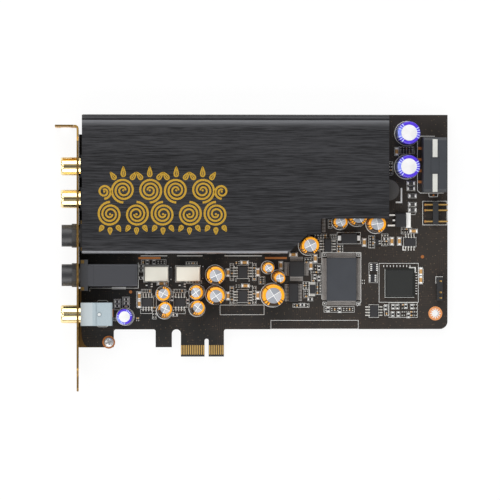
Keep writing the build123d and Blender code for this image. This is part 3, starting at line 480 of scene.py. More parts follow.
def row_tree():
    """Copies the mesh along a line."""
    kinds = {"Count": "NodeSocketInt", "Pitch": "NodeSocketVector", "Finish": "NodeSocketMaterial"}
    tree, sockets, start, end = new_tree("row of copies", kinds)
    line = tree.nodes.new("GeometryNodeMeshLine")
    copies = tree.nodes.new("GeometryNodeInstanceOnPoints")
    tree.links.new(start.outputs["Count"], line.inputs["Count"])
    tree.links.new(start.outputs["Pitch"], line.inputs["Offset"])
    tree.links.new(line.outputs["Mesh"], copies.inputs["Points"])
    tree.links.new(start.outputs["Geometry"], copies.inputs["Instance"])
    end_tree(tree, copies, start, end)
    return tree, sockets


def scatter_tree():
    """Sets a form on each point of the mesh."""
    kinds = {"Form": "NodeSocketObject", "Size": "NodeSocketFloat", "Finish": "NodeSocketMaterial"}
    tree, sockets, start, end = new_tree("form on each point", kinds)
    form = tree.nodes.new("GeometryNodeObjectInfo")
    turn = tree.nodes.new("GeometryNodeInputNamedAttribute")
    turn.data_type = "FLOAT_VECTOR"
    turn.inputs["Name"].default_value = "turn"
    copies = tree.nodes.new("GeometryNodeInstanceOnPoints")
    tree.links.new(start.outputs["Form"], form.inputs["Object"])
    tree.links.new(start.outputs["Geometry"], copies.inputs["Points"])
    tree.links.new(form.outputs["Geometry"], copies.inputs["Instance"])
    tree.links.new(turn.outputs["Attribute"], copies.inputs["Rotation"])
    tree.links.new(start.outputs["Size"], copies.inputs["Scale"])
    end_tree(tree, copies, start, end)
    return tree, sockets


ROW, ROW_SOCKETS = row_tree()
SCATTER, SCATTER_SOCKETS = scatter_tree()
print("node trees:", ROW.name, "and", SCATTER.name)

# %% Running them


def grown(mesh, tree, settings):
    """The mesh that a node tree makes of another."""
    helper = bpy.data.objects.new("helper", mesh)
    bpy.context.collection.objects.link(helper)
    nodes = helper.modifiers.new("nodes", "NODES")
    nodes.node_group = tree
    for identifier, setting in settings.items():
        nodes[identifier] = setting
    graph = bpy.context.evaluated_depsgraph_get()
    made = bpy.data.meshes.new_from_object(helper.evaluated_get(graph), depsgraph=graph)
    bpy.data.objects.remove(helper)
    return made


def row_of(form, count, pitch, finish, place=Matrix()):
    """Copies of a form, a pitch apart, as a mesh in millimetres."""
    one = Shape()
    one.add(form, finish, place)
    settings = {"Count": count, "Pitch": pitch, "Finish": finish}
    return grown(one.mesh("one", False), ROW, {ROW_SOCKETS[k]: v for k, v in settings.items()})


def scattered(form, spots, finish, size=1.0):
    """A form on each spot, as a mesh in millimetres. A spot is its place and its turn in radians."""
    one = Shape()
    one.add(form, finish)
    model = bpy.data.objects.new("form", one.mesh("form", False))
    bpy.context.collection.objects.link(model)
    cloud = bpy.data.meshes.new("spots")
    cloud.from_pydata([tuple(place) for place, turn in spots], [], [])
    turns = cloud.attributes.new("turn", "FLOAT_VECTOR", "POINT")
    turns.data.foreach_set("vector", [c for place, turn in spots for c in turn])
    settings = {"Form": model, "Size": size, "Finish": finish}
    made = grown(cloud, SCATTER, {SCATTER_SOCKETS[k]: v for k, v in settings.items()})
    bpy.data.objects.remove(model)
    return made


print("rows and scatters can be grown")

# %% [markdown]
# ## The circuit board
#
# Solder mask over copper is almost black here, with a brown cast, and the copper traces under it
# only show as slightly lighter lines. Two brick patterns, one turned a quarter, give long thin lines
# in both directions, a slow noise picks which of them shows where, and small spots stand for vias.

# %% The finish of the board


def board_finish():
    finish = Finish("dark solder mask")
    point = finish.grid_point()
    x, y, z = finish.axes(point)
    turned_point = finish.node("ShaderNodeCombineXYZ", sockets={"X": y, "Y": x, "Z": z})
    lines = []
    for place, height in ((point, 0.8), (turned_point, 0.95)):
        sockets = {"Vector": place, "Scale": 1.0, "Mortar Size": 0.1, "Mortar Smooth": 0.4}
        sockets.update({"Brick Width": 11.0, "Row Height": height, "Bias": 0.0})
        settings = {"offset": 0.37, "offset_frequency": 3, "squash": 1.6, "squash_frequency": 4}
        lines.append(finish.node("ShaderNodeTexBrick", settings, sockets, 1))
    across = finish.step(finish.noise(point, 0.07, 1.0), 0.47, 0.53)
    crowd = finish.step(finish.noise(point, 0.13, 2.0), 0.42, 0.58)
    traces = (lines[0] * across + lines[1] * (1 - across)) * crowd
    pour = finish.step(finish.noise(point, 0.05, 0.0), 0.5, 0.52)
    via_sockets = {"Vector": point, "Scale": 0.36, "Randomness": 1.0}
    via = finish.node("ShaderNodeTexVoronoi", {"voronoi_dimensions": "2D"}, via_sockets)
    vias = (via < 0.075) * (via > 0.03)
    right = finish.step(x, 55.0, 130.0)
    base = finish.mix(right, linear("151413"), linear("27221E"))
    base = finish.mix(pour * 0.4, base, linear("221D1A"))
    shade = finish.mix(traces * 0.45, base, linear("44352A"))
    shade = finish.mix(vias * 0.4, shade, linear("7A6650"))
    gloss = 0.5 + finish.noise(point, 1.2, 2.0) * 0.12
    mask_shine = {"Specular IOR Level": 0.3}
    return finish.surface(shade, gloss, height=traces + vias, distance=0.00002, **mask_shine)


BOARD = board_finish()
print("board finish:", BOARD.name)

# %% [markdown]
# ## The shield cover
#
# The cover is a sheet that was brushed along its length and then coloured black. Noise that is
# drawn out along X some thirty times more than across it gives the brush lines. Along its long
# edges, where the sheet bends down, a brighter line is painted into the colour as a painted
# highlight of the bend, and the steep strip above the upper bend is darkened as a painted
# reflection of dark surroundings.

# %% The finish of the cover
UPPER_BEND_Y = 106.9
LOWER_BEND_YS = (46.6, 47.5)
LOWER_BEND_END_X = 94.0


def cover_finish():
    finish = Finish("brushed black sheet")
    point = finish.grid_point()
    x, y, z = finish.axes(point)
    fine = finish.noise(finish.stretched(point, (0.16, 4.6, 4.6)), 1.0, 4.0)
    broad = finish.noise(finish.stretched(point, (0.05, 1.6, 1.6)), 1.0, 3.0)
    slow = finish.noise(finish.stretched(point, (0.012, 0.09, 0.09)), 1.0, 1.0)
    brushed = finish.step(fine * 0.5 + broad * 0.35 + slow * 0.15, 0.36, 0.64)
    shade = finish.mix(brushed, linear("1B1B1D"), linear("404043"))
    # painted highlight: lighter towards the upper bend, standing for the lamps' reflection there
    upper_bend_highlight = finish.step(y, UPPER_BEND_Y - 4.9, UPPER_BEND_Y + 0.1) ** 2.5 * (y < UPPER_BEND_Y)
    shade = finish.mix(upper_bend_highlight * 0.75, shade, linear("85868A"))
    # painted reflection: the steep strip above the upper bend is darkened for the dark surroundings
    shade = finish.mix((y > UPPER_BEND_Y) * 0.6, shade, linear("1A1A1C"))
    # painted highlight: a bright grey band along the lower bend, standing for the lamps' reflection
    lower_bend_highlight = finish.band(y, *LOWER_BEND_YS, 0.5) * (x < LOWER_BEND_END_X)
    shade = finish.mix(lower_bend_highlight * 0.85, shade, linear("94959A"))
    gloss = 0.3 + fine * 0.2
    return finish.surface(shade, gloss, 0.6, height=fine, distance=0.00001)


COVER = cover_finish()
print("cover finish:", COVER.name)

# %% [markdown]
# ## The jack bodies
#
# A jack's body is one black moulding. Its flange is a little darker than its long back, the top of
# the back is lighter along its long edges, and the nose outside the bracket has a gloss.

# %% The finish of the jacks
JACK_TOP_Z = 12.3
FLANGE_XS = (-0.2, 4.1)
RIM_YS = (41.6, 42.3), (32.0, 32.5)
PANEL_XS = (6.6, 6.8), (25.4, 25.6)
NOSE_END_X = -0.5


def jack_finish():
    finish = Finish("jack plastic")
    point = finish.grid_point()
    x, y, z = finish.axes(point)
    fine = finish.noise(point, 3.0, 2.0)
    scratch = finish.noise(finish.stretched(point, (0.5, 5.0, 5.0)), 1.0, 3.0)
    shade = finish.mix(fine * 0.5 + scratch * 0.5, linear("292A2E"), linear("37383D"))
    flange = finish.band(x, *FLANGE_XS, 0.1)
    shade = finish.mix(flange * 0.5, shade, linear("202123"))
    top = z > JACK_TOP_Z
    rims = finish.band(y, *RIM_YS[0], 0.1) + finish.band(y, *RIM_YS[1], 0.1)
    panels = finish.band(x, *PANEL_XS[0], 0.05) + finish.band(x, *PANEL_XS[1], 0.05)
    rim = top * (x > FLANGE_XS[1] + 0.3) * rims
    shade = finish.mix(rim * 0.5, shade, linear("5B5D62"))
    shade = finish.mix(top * panels * 0.5, shade, linear("191A1C"))
    nose = x < NOSE_END_X
    shade = finish.mix(nose * 0.6, shade, linear("17181A"))
    return finish.surface(shade, 0.42 - nose * 0.06 + fine * 0.1, height=fine, distance=0.00002)


print("the nose of a jack is everything outside the bracket")

# %% The finish of the pale phono housing
PALE_STEP_X, PALE_BACK_X = 6.0, 14.4
GATE_MARK = (9.2, 19.4)


def pale_housing_finish():
    """Grey plastic whose back half has a rougher mould texture, with a smooth gate mark."""
    finish = Finish("pale housing")
    point = finish.grid_point()
    x, y, z = finish.axes(point)
    rough = finish.noise(point, 2.2, 4.0)
    slow = finish.noise(point, 0.25, 1.0)
    back = finish.step(x, PALE_STEP_X, PALE_STEP_X + 0.3)
    front_shade = finish.mix(slow, linear("A3ACB0"), linear("ACB5B9"))
    back_shade = finish.mix(rough, linear("84949C"), linear("A9B4B8"))
    shade = finish.mix(back, front_shade, back_shade)
    shade = finish.mix((x > PALE_BACK_X) * 0.4, shade, linear("6E7A80"))
    off_x, off_y = x - GATE_MARK[0], y - GATE_MARK[1]
    away = (off_x * off_x + off_y * off_y) ** 0.5
    shade = finish.mix(away < 0.75, shade, linear("C6CACA"))
    shade = finish.mix(finish.band(away, 0.8, 1.0, 0.1) * 0.6, shade, linear("5C676D"))
    return finish.surface(shade, 0.35 + back * rough * 0.2, height=rough * back, distance=0.00004)


print("one socket housing is pale")

# %% [markdown]
# ## The slot bracket
#
# The bracket is gold-plated steel, brushed along its length. Its cut edges are darker than its
# faces, with fine lines along them from the shear. On the top edge at the bend a near-white, nearly
# non-metal patch is a painted highlight of the bend, and the sheet on the board side, low on the
# card, is darkened brown as painted shade.

# %% The finish of the bracket
UPPER_EDGE_Z, LOWER_EDGE_Z = 15.88, -2.46
SHEET_XS = (-0.92, -0.14)
TONGUE_YS = (-5.0, -6.0)
LIP_TOP_Y = 31.5
TOP_BEND_XS = (-2.3, -0.4)
TOP_BEND_Y = 103.7


def bracket_finish():
    finish = Finish("gold bracket sheet")
    point = finish.grid_point()
    x, y, z = finish.axes(point)
    fine = finish.noise(finish.stretched(point, (4.0, 0.12, 4.0)), 1.0, 3.0)
    grain = finish.noise(finish.stretched(point, (9.0, 0.5, 0.5)), 1.0, 2.0)
    face = finish.mix(fine, linear("B98E45"), linear("D9B060"))
    cut = finish.mix(finish.step(grain, 0.42, 0.58), linear("6A5330"), linear("B08A4C"))
    edge = finish.math("MAXIMUM", z > UPPER_EDGE_Z, (z < LOWER_EDGE_Z) * (x < 0.05))
    inside_sheet = finish.band(x, *SHEET_XS, 0.03)
    edge = finish.math("MAXIMUM", edge, finish.step(y, *TONGUE_YS) * inside_sheet)
    # painted shade: the parts of the sheet on the board side, low on the card, are darkened brown
    lip_painted_shade = (z > -2.6) * (x > 0.05) * (y < LIP_TOP_Y)
    shade = finish.mix(edge, face, cut)
    shade = finish.mix(lip_painted_shade * 0.85, shade, linear("5A4630"))
    # painted highlight: near-white and almost non-metal on the top edge at the bend, standing for its
    # reflection
    top_bend_highlight = (z > UPPER_EDGE_Z) * finish.band(x, *TOP_BEND_XS, 0.3) * (y > TOP_BEND_Y)
    shade = finish.mix(top_bend_highlight, shade, linear("F4EEDC"))
    gloss = 0.28 + fine * 0.14
    return finish.surface(shade, gloss, 1 - top_bend_highlight * 0.9, height=fine, distance=0.00001)


print("the bracket's cut edges are told by their height, and the tongue's by lying inside the sheet")

# %% [markdown]
# ## Finishes of the carried-over solids
#
# A solid whose shape is right only needs a finish. The table below names one for each node that
# stays visible. The colours come from looking at the real parts: plated gold is a warm, slightly
# brown yellow, tinned leads are a soft grey, and the wide tinned ends of power parts are nearly
# white, which is partly the tin's own pale tone and partly a painted reflection of the lamps, with
# little metal in that finish. Most platings get less than full metal, because a metal shows what is
# round it and goes dark where nothing is.

# %% Plain finishes
GOLD = metal("plated gold", linear("E0B468"), 0.25, metallic=0.72)
CLIP_BRASS = metal("dull brass", linear("7A6238"), 0.4)
SHELL_GOLD = metal("polished shell gold", linear("F3DDA6"), 0.07, wear=0.06, grain=300.0)
BRACKET_GOLD = bracket_finish()
CONTACT_GOLD = metal("contact gold", linear("E3BA70"), 0.3, metallic=0.72)
COPPER = metal("bare copper", linear("D08650"), 0.4)
TIN = metal("tinned lead", linear("D6D4CE"), 0.45, metallic=0.55)
SOLDER = metal("solder", linear("CFCFCE"), 0.4, metallic=0.6)
STEEL = metal("screw steel", linear("D2D2D3"), 0.3, metallic=0.6)
# near-white and almost non-metal: partly tin's own pale tone and partly a painted reflection of the lamps
BRIGHT_TIN = metal("bright tin", linear("F6F5F2"), 0.4, metallic=0.1)
BRIDGE_BLACK = moulded("bridge compound", linear("161817"), 0.5)
LAND_COPPER = metal("land copper", linear("EDA066"), 0.4, metallic=0.5)
NUT_BLACK = moulded("jack nut plastic", linear("1B1C1F"), 0.5)
LEAD_FRAME = metal("lead frame", linear("A9A4A0"), 0.45, metallic=0.5)
CHIP_BLACK = moulded("chip compound", linear("1F1F22"), 0.55)
PROCESSOR_GREY = moulded("grey chip compound", linear("35383E"), 0.5)
JACK_BLACK = jack_finish()
SOCKET_GREY = moulded("socket plastic", linear("34373C"), 0.42)
HEADER_BLACK = moulded("header plastic", linear("27282B"), 0.45)
RELAY_CREAM = moulded("relay plastic", linear("DEDBCF"), 0.4, blotch=0.12)
PALE_HOUSING = pale_housing_finish()
BAR_PALE = moulded("pale bar", linear("C6C6C0"), 0.4, blotch=0.2)
FERRITE = moulded("ferrite", linear("3E3C3B"), 0.65, grain=1800.0, depth=0.00008)
LAMINATE = moulded("dark laminate", linear("1A1F1B"), 0.45)
FILM_RED = moulded("red film capacitor", linear("9A2F22"), 0.25)
RESISTOR_BLACK = moulded("resistor glaze", linear("2B2B2E"), 0.3)
CHIP_TAN = moulded("capacitor ceramic", linear("BC8E50"), 0.45)
SILK = flat_print("white print", linear("E2E2DF"))
print("plain finishes:", len(bpy.data.materials))

# %% Painting the nodes
PAINTED = (
    (BOARD, "circuit_board"),
    (CONTACT_GOLD, "edge_contacts phono_contacts"),
    (COPPER, "ground_strips power_tails"),
    (BRACKET_GOLD, "slot_bracket"),
    (COVER, "shield_cover"),
    (SOCKET_GREY, "line_out_housings amplifier_sockets power_socket"),
    (PALE_HOUSING, "digital_out_housing"),
    (JACK_BLACK, "jack_bodies"),
    (NUT_BLACK, "jack_nuts"),
    (CLIP_BRASS, "jack_corner_clips"),
    (GOLD, "jack_tip_contacts side_header_pins upright_header_pins"),
    (FILM_RED, "film_capacitors"),
    (RELAY_CREAM, "signal_relays"),
    (CHIP_BLACK, "output_amplifiers amplifier_chips logic_chips converter_chip receiver_chip"),
    (CHIP_BLACK, "output_converter voltage_regulator power_diode polarised_chip transistors clamp_diodes"),
    (PROCESSOR_GREY, "sound_processor"),
    (LAMINATE, "bridge_laminate"),
    (BRIDGE_BLACK, "bus_bridge"),
    (SOLDER, "bridge_solder"),
    (BRIGHT_TIN, "regulator_leads power_diode_terminals"),
    (TIN, "polarised_chip_terminals power_pins"),
    (FERRITE, "power_inductor"),
    (RESISTOR_BLACK, "resistor_networks"),
    (BAR_PALE, "power_socket_bars"),
    (HEADER_BLACK, "side_header upright_header"),
)
painted = []
for finish, nodes in PAINTED:
    for node in nodes.split():
        painted.append(node)
        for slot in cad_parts[node].material_slots:
            slot.material = finish
print("painted nodes:", len(painted), "left for new pieces:", sorted(set(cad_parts) - set(painted)))

# %% [markdown]
# ## Electrolytic capacitors
#
# A can like this is an aluminium cup with a shrunk plastic sleeve. The sleeve folds over the top
# rim and leaves a disc of bare metal, which is scored with a cross so that it opens there under
# pressure. Low on the side a rolled groove grips the rubber plug. All of that is one turned profile.
# The sleeve's stripe follows the can's own grid, so it leans with the can.

# %% The sleeve's finish


def sleeve_finish(name, ground, gap, mark, marks):
    """A glossy sleeve with a stripe on its left side, and dashes at the angles given."""
    finish = Finish(name)
    x, y, z = finish.axes(finish.own_point())
    angle = finish.math("ARCTAN2", y, x)
    around = abs(angle)
    fine = finish.noise(finish.own_point(), 3.0, 2.0)
    shade = finish.mix(finish.step(around, 2.62, 2.66), ground, gap)
    dash = abs(finish.math("FRACT", z * 0.55) - 0.5) < 0.17
    minus = (around > 2.95) * dash
    for place, width in marks:
        minus = finish.math("MAXIMUM", minus, abs(angle - place) < width)
    shade = finish.mix(minus * 0.85, shade, mark)
    return finish.surface(shade, 0.18 + fine * 0.12, height=fine, distance=0.00003)


print("a stripe is told by its angle round the can")

# %% The finish of a can's top


def can_finish(name, dark, light, groove_share):
    """Bare aluminium with a scored cross. Its quarters are lighter and darker in turn as a painted
    reflection, the groove is darkened as painted shade, and its middle carries a white painted highlight.
    """
    finish = Finish(name)
    x, y, z = finish.axes(finish.own_point())
    along = x * 0.87 + y * 0.5
    across = y * 0.87 - x * 0.5
    # painted reflection: opposite quarters of the top lighter and darker
    quarter = finish.step(along * across, -0.6, 0.6)
    near = finish.math("MINIMUM", abs(along), abs(across))
    # painted shade: the groove darkens the colour as well as the bump
    groove = finish.step(near, 0.34, 0.2) * groove_share
    # painted highlight: a white line along the groove's middle
    groove_highlight = finish.step(near, 0.2, 0.1) * groove_share
    fine = finish.noise(finish.stretched(finish.own_point(), (1.0, 9.0, 1.0)), 1.2, 3.0)
    shade = finish.mix(quarter * 0.75 + fine * 0.3, dark, light)
    shade = finish.mix(groove * 0.55, shade, linear("6C7078"))
    shade = finish.mix(groove_highlight, shade, linear("F0F0F0"))
    return finish.surface(shade, 0.3 + fine * 0.15, 0.3, height=fine - groove, distance=0.00006)


print("the scored cross can be left out of a top")

# %% The capacitor's finishes
ORANGE_MARKS = ((2.42, 0.07), (-2.42, 0.07), (2.12, 0.06), (-2.12, 0.06), (0.75, 0.05))
PURPLE_MARKS = [(0.25 * i, 0.05) for i in (-2, -1, 0, 1, 2, 9, 10, 11, -9, -10, -11)]
orange = (linear("F0A01C"), linear("33261A"), linear("3A2812"))
purple = (linear("4A30C4"), linear("7A86E8"), linear("B9C6F4"))
ORANGE_SLEEVE = sleeve_finish("orange sleeve", *orange, ORANGE_MARKS)
PURPLE_SLEEVE = sleeve_finish("purple sleeve", *purple, PURPLE_MARKS)
CAN_TOP = can_finish("scored can top", linear("8E929A"), linear("C0C1C5"), 1.0)
PLAIN_CAN_TOP = can_finish("plain can top", linear("E0E0E0"), linear("E6E6E6"), 0.0)
PLUG = moulded("rubber plug", linear("242424"), 0.7)
print("capacitor finishes: 5")

# %% Where the capacitors stand: size, X, Y, lean along X and Y, and turn
SLIM, SMALL, MIDDLE, WIDE = (5.0, 11.0), (6.3, 11.0), (8.0, 11.4), (10.0, 12.5)
SMALL_SUPPLY, WIDE_SUPPLY = (7.0, 11.0), (10.2, 12.5)
AUDIO_CAPACITORS = (
    (SMALL, 38.4, 28.6, -0.4, 0.2, -60),
    (SMALL, 38.7, 20.7, 0.2, 1.3, 35),
    (SMALL, 53.4, 29.3, -0.7, 0.0, 5),
    (SMALL, 53.4, 21.8, 0.2, 0.7, 25),
    (MIDDLE, 61.7, 37.2, 0.0, -0.3, 85),
    (MIDDLE, 61.8, 28.1, 0.0, -0.4, 95),
    (SLIM, 85.6, 40.5, 0.0, -0.3, 95),
    (SLIM, 90.2, 36.4, 0.4, -0.7, 70),
    (WIDE, 87.7, 27.9, 0.0, 0.0, 92),
    (MIDDLE, 104.0, 50.4, 0.4, 0.1, 88),
    (SMALL, 118.4, 61.2, -0.3, 0.0, 85),
    (MIDDLE, 126.2, 63.5, 0.0, 0.0, 90),
    (MIDDLE, 134.7, 60.3, 0.0, 0.0, 70),
)
SUPPLY_CAPACITORS = (
    (SMALL_SUPPLY, 20.9, 18.2, -0.4, 0.2, 40),
    (WIDE_SUPPLY, 149.0, 101.4, 0.0, 0.0, 0),
    (WIDE_SUPPLY, 148.9, 86.2, 0.0, 0.0, 0),
)


print("capacitors:", len(AUDIO_CAPACITORS), "orange and", len(SUPPLY_CAPACITORS), "purple")

# %% The capacitors
TOP_SHARE = 0.71


def leaning(size, x, y, lean_x, lean_y, spin):
    """Where a can stands, leaning on the rim of its base."""
    diameter, height = size
    tilt = math.asin(math.hypot(lean_x, lean_y) / height)
    heading = Matrix.Rotation(math.atan2(lean_y, lean_x), 4, "Z")
    lift = diameter / 2 * math.sin(tilt)
    spot = Matrix.Translation((x, y, BOARD_TOP + lift))
    turn = Matrix.Rotation(math.radians(spin), 4, "Z")
    return spot @ heading @ Matrix.Rotation(tilt, 4, "Y") @ heading.inverted() @ turn


def add_capacitor(shape, size, place, sleeve, top):
    """The plug, the sleeve with its rolled groove and folded rim, and the metal disc."""
    radius, height = size[0] / 2, size[1]
    disc = radius * TOP_SHARE
    shape.add(turned([(0, 0), (radius - 0.7, 0), (radius - 0.6, 0.5), (0, 0.5)], 24), PLUG, place)
    side = [(radius - 0.75, 0.3), (radius - 0.15, 0.25), (radius, 0.5), (radius, 1.3)]
    side += [(radius - 0.3, 1.75), (radius - 0.3, 2.05), (radius, 2.5), (radius, height - 0.55)]
    side += [(radius - 0.12, height - 0.2), (radius - 0.4, height), (disc + 0.12, height)]
    side += [(disc, height - 0.12), (disc, height - 0.3), (radius - 0.75, height - 0.3)]
    shape.add(turned(side, 40, closed=True), sleeve, place)
    lid = [(0, height - 0.5), (disc + 0.1, height - 0.5), (disc + 0.1, height - 0.22)]
    lid += [(disc - 0.15, height - 0.16), (0, height - 0.16)]
    shape.add(turned(lid, 40), top, place)


audio = Shape()
for can in AUDIO_CAPACITORS:
    add_capacitor(audio, can[0], leaning(*can), ORANGE_SLEEVE, CAN_TOP)
audio.piece("audio_capacitor_cans", "sleeve_orange", "audio_capacitors")
supply = Shape()
for can in SUPPLY_CAPACITORS:
    add_capacitor(supply, can[0], leaning(*can), PURPLE_SLEEVE, PLAIN_CAN_TOP)
supply.piece("supply_capacitor_cans", "sleeve_purple", "supply_capacitors")

# %% [markdown]
# ## Phono shells
#
# The shell of a phono socket is plated sheet that is rolled into a tube, with an open seam along
# its top. At the seam the front corners are rounded off, so the rim dips there. A wall's profile is
# swept nearly all the way round, and its front points are drawn back near the seam.

# %% The phono shells
PHONO_YS = (86.2, 71.5, 19.5)
SHELL_PROFILE = [(4.1, -0.8), (4.1, 6.9), (4.06, 7.4), (3.95, 7.75), (3.75, 8.0), (3.6, 8.1)]
SHELL_PROFILE += [(3.45, 8.0), (3.4, 7.6), (3.4, -0.8)]


def rolled(profile, sides, seam, dip):
    """A tube with an open seam at the angle 0."""
    points = []
    for i in range(sides + 1):
        angle = seam / 2 + (math.tau - seam) * i / sides
        near = min(angle, math.tau - angle)
        for radius, z in profile:
            back = dip * math.exp(-((near / 0.3) ** 2)) if z > 6.5 else 0.0
            points.append((radius * math.cos(angle), radius * math.sin(angle), z - back))
    count = len(profile)
    faces = [tuple(range(count)), tuple(range(len(points) - 1, len(points) - count - 1, -1))]
    for i in range(sides):
        for j in range(count):
            a, b = i * count + j, i * count + (j + 1) % count
            faces.append((a, a + count, b + count, b))
    return points, faces


shells = Shape()
for y in PHONO_YS:
    shells.add(rolled(SHELL_PROFILE, 72, 0.11, 0.7), SHELL_GOLD, facing_left(0, y, SOCKET_AXIS))
shells.piece("phono_shell_tubes", "shell_gold", "phono_shells", smooth=50)

# %% [markdown]
# ## The bracket screw
#
# A pan head with a cross recess. The head is turned, and the recess is cut with a Boolean modifier
# by two crossed blocks, because a pressed recess has sharp edges that a bump can't show.

# %% The bracket screw
SCREW_X, SCREW_Y = 13.5, 6.6


def head_with_recess():
    head = Shape()
    profile = [(0, -1.6), (1.2, -1.6), (1.2, 0), (2.2, 0), (2.2, 0.75), (2.0, 1.25), (1.5, 1.6), (0, 1.7)]
    head.add(turned(profile, 32), STEEL)
    cutter = Shape()
    cutter.add(brick((2.6, 0.55, 1.4), (0, 0, 0.8)), STEEL, at(0, 0, 0, 20))
    cutter.add(brick((0.55, 2.6, 1.4), (0, 0, 0.8)), STEEL, at(0, 0, 0, 20))
    objects = []
    for shape in (head, cutter):
        made = bpy.data.objects.new("screw part", shape.mesh("screw part", False))
        bpy.context.collection.objects.link(made)
        objects.append(made)
    cut = objects[0].modifiers.new("recess", "BOOLEAN")
    cut.object = objects[1]
    cut.solver = "EXACT"
    cut.use_self = True
    graph = bpy.context.evaluated_depsgraph_get()
    mesh = bpy.data.meshes.new_from_object(objects[0].evaluated_get(graph), depsgraph=graph)
    for made in objects:
        bpy.data.objects.remove(made)
    return mesh


screw = Shape()
recessed = head_with_recess()
recessed.transform(at(SCREW_X, SCREW_Y, BOARD_TOP))
screw.take(recessed)
screw.piece("bracket_screw_head", "screw_steel", "bracket_screw")

# %% [markdown]
# ## Gull-wing leads
#
# A lead leaves the package at half its height, bends down and ends in a foot that lies in solder on
# its pad. One lead is a bent strip of a few faces. A row tree copies it at the package's pitch, so
# a change of pitch is a change of one number.

# %% One bent lead and its pad


def gull_wing(reach, width, thickness, start):
    """A bent strip that runs outward along X from the package's side."""
    foot = thickness / 2 + 0.04
    path = [(-0.2, start), (reach * 0.22, start), (reach * 0.38, start - 0.12), (reach * 0.52, foot + 0.1)]
    path += [(reach * 0.62, foot), (reach, foot)]
    points = []
    for i, (x, z) in enumerate(path):
        before, after = path[max(0, i - 1)], path[min(len(path) - 1, i + 1)]
        way = Vector((after[0] - before[0], after[1] - before[1])).normalized()
        side = Vector((-way.y, way.x)) * thickness / 2
        for sign in (1, -1):
            for y in (-width / 2, width / 2):
                points.append((x + sign * side.x, y, z + sign * side.y))
    faces = [(1, 3, 2, 0)]
    for i in range(len(path) - 1):
        a, b = 4 * i, 4 * (i + 1)
        faces += [(b, b + 1, a + 1, a), (a + 3, b + 3, b + 2, a + 2), (a + 2, b + 2, b, a)]
        faces.append((b + 1, b + 3, a + 3, a + 1))
    last = 4 * (len(path) - 1)
    faces.append((last + 2, last + 3, last + 1, last))
    return points, faces


def solder_pad(reach, width):
    """Tinned copper under a foot, with a low heap of solder."""
    middle = reach * 0.78
    return brick((reach * 0.6, width, 0.09), (middle, 0, 0), 0.05)


def add_lead_row(shape, middle, count, pitch, reach, width, start, turn):
    """A row of leads and pads. The turn says to which side of the package the leads point."""
    along = Matrix.Rotation(math.radians(turn), 4, "Z")
    first = along @ Vector((0, -pitch * (count - 1) / 2, 0)) + Vector(middle)
    step = tuple(along @ Vector((0, pitch, 0)))
    place = Matrix.Translation(first) @ along
    lead = gull_wing(reach * 0.72, width, min(0.2, width * 0.6), start)
    tin = TIN if pitch > 1 else LEAD_FRAME
    shape.take(row_of(lead, count, step, tin, place))
    shape.take(row_of(solder_pad(reach, width * 1.25), count, step, tin, place))


print("a lead has", len(gull_wing(1.2, 0.4, 0.2, 0.9)[1]), "faces")

# %% Leads of the small outline packages
LEAD_DISTANCE = 6
OUTLINE_REACH = 1.9


def package_leads(name, chips, leads, pitch, width, height):
    shape = Shape()
    rows = 0
    lead_boxes = solids_of(leads)
    for low, high in solids_of(chips):
        middle = (low + high) / 2
        near = [box for box in lead_boxes if (box[0] + box[1] - low - high).length < 2 * LEAD_DISTANCE]
        along_x = any(box[0].x > high.x - 0.3 for box in near)
        half = (high.x - low.x) / 2 if along_x else (high.y - low.y) / 2
        for turn in ((0, 180) if along_x else (90, 270)):
            way = Matrix.Rotation(math.radians(turn), 4, "Z") @ Vector((half, 0, 0))
            spot = (middle.x + way.x, middle.y + way.y, BOARD_TOP)
            add_lead_row(shape, spot, 4, pitch, OUTLINE_REACH, width, height / 2, turn)
            rows += 1
    print(chips, "rows of leads:", rows)
    return shape.piece(name, "tinned_lead", leads)


package_leads("amplifier_gull_wings", "amplifier_chips", "amplifier_leads", 1.27, 0.42, 1.75)
package_leads("logic_gull_wings", "logic_chips", "logic_leads", 1.27, 0.42, 1.75)

# %% Leads of the close-pitched packages
CLOSE_PITCHED = (
    ("sound_processor", 0.5, 0.24, 1.9, 38, 26),
    ("converter_chip", 0.5, 0.24, 1.9, 12, 12),
    ("receiver_chip", 0.65, 0.3, 1.6, 12, 0),
    ("output_converter", 0.65, 0.3, 1.6, 14, 0),
)
fine_leads = Shape()
for node, pitch, width, reach, on_x_sides, on_y_sides in CLOSE_PITCHED:
    low, high = solids_of(node)[0]
    middle = (low + high) / 2
    half = (high - low) / 2
    for turn in (0, 180, 90, 270):
        count, away = (on_x_sides, half.x) if turn in (0, 180) else (on_y_sides, half.y)
        if count:
            way = Matrix.Rotation(math.radians(turn), 4, "Z") @ Vector((away, 0, 0))
            spot = (middle.x + way.x, middle.y + way.y, BOARD_TOP)
            add_lead_row(fine_leads, spot, count, pitch, reach, width, half.z * 0.9, turn)
fine_leads.piece("close_pitched_leads", "tinned_lead")

# %% [markdown]
# ## Small ceramic parts
#
# A chip capacitor is a tan block and a resistor a flat one with a dark glaze, each with tinned ends
# that wrap round the block and sit in solder. The CAD boxes give the places. The scatter tree sets
# one body, its two ends and its solder on each.

# %% The chip capacitors and resistors
GREY_FROM_X, GREY_FROM_Y = 148, 63


def spots_of(node):
    """The middle of each solid's base, and a quarter turn where it is longer along Y."""
    spots = []
    for low, high in solids_of(node):
        size = high - low
        turn = math.pi / 2 if size.y > size.x else 0.0
        spots.append((((low.x + high.x) / 2, (low.y + high.y) / 2, low.z), (0.0, 0.0, turn)))
    return spots


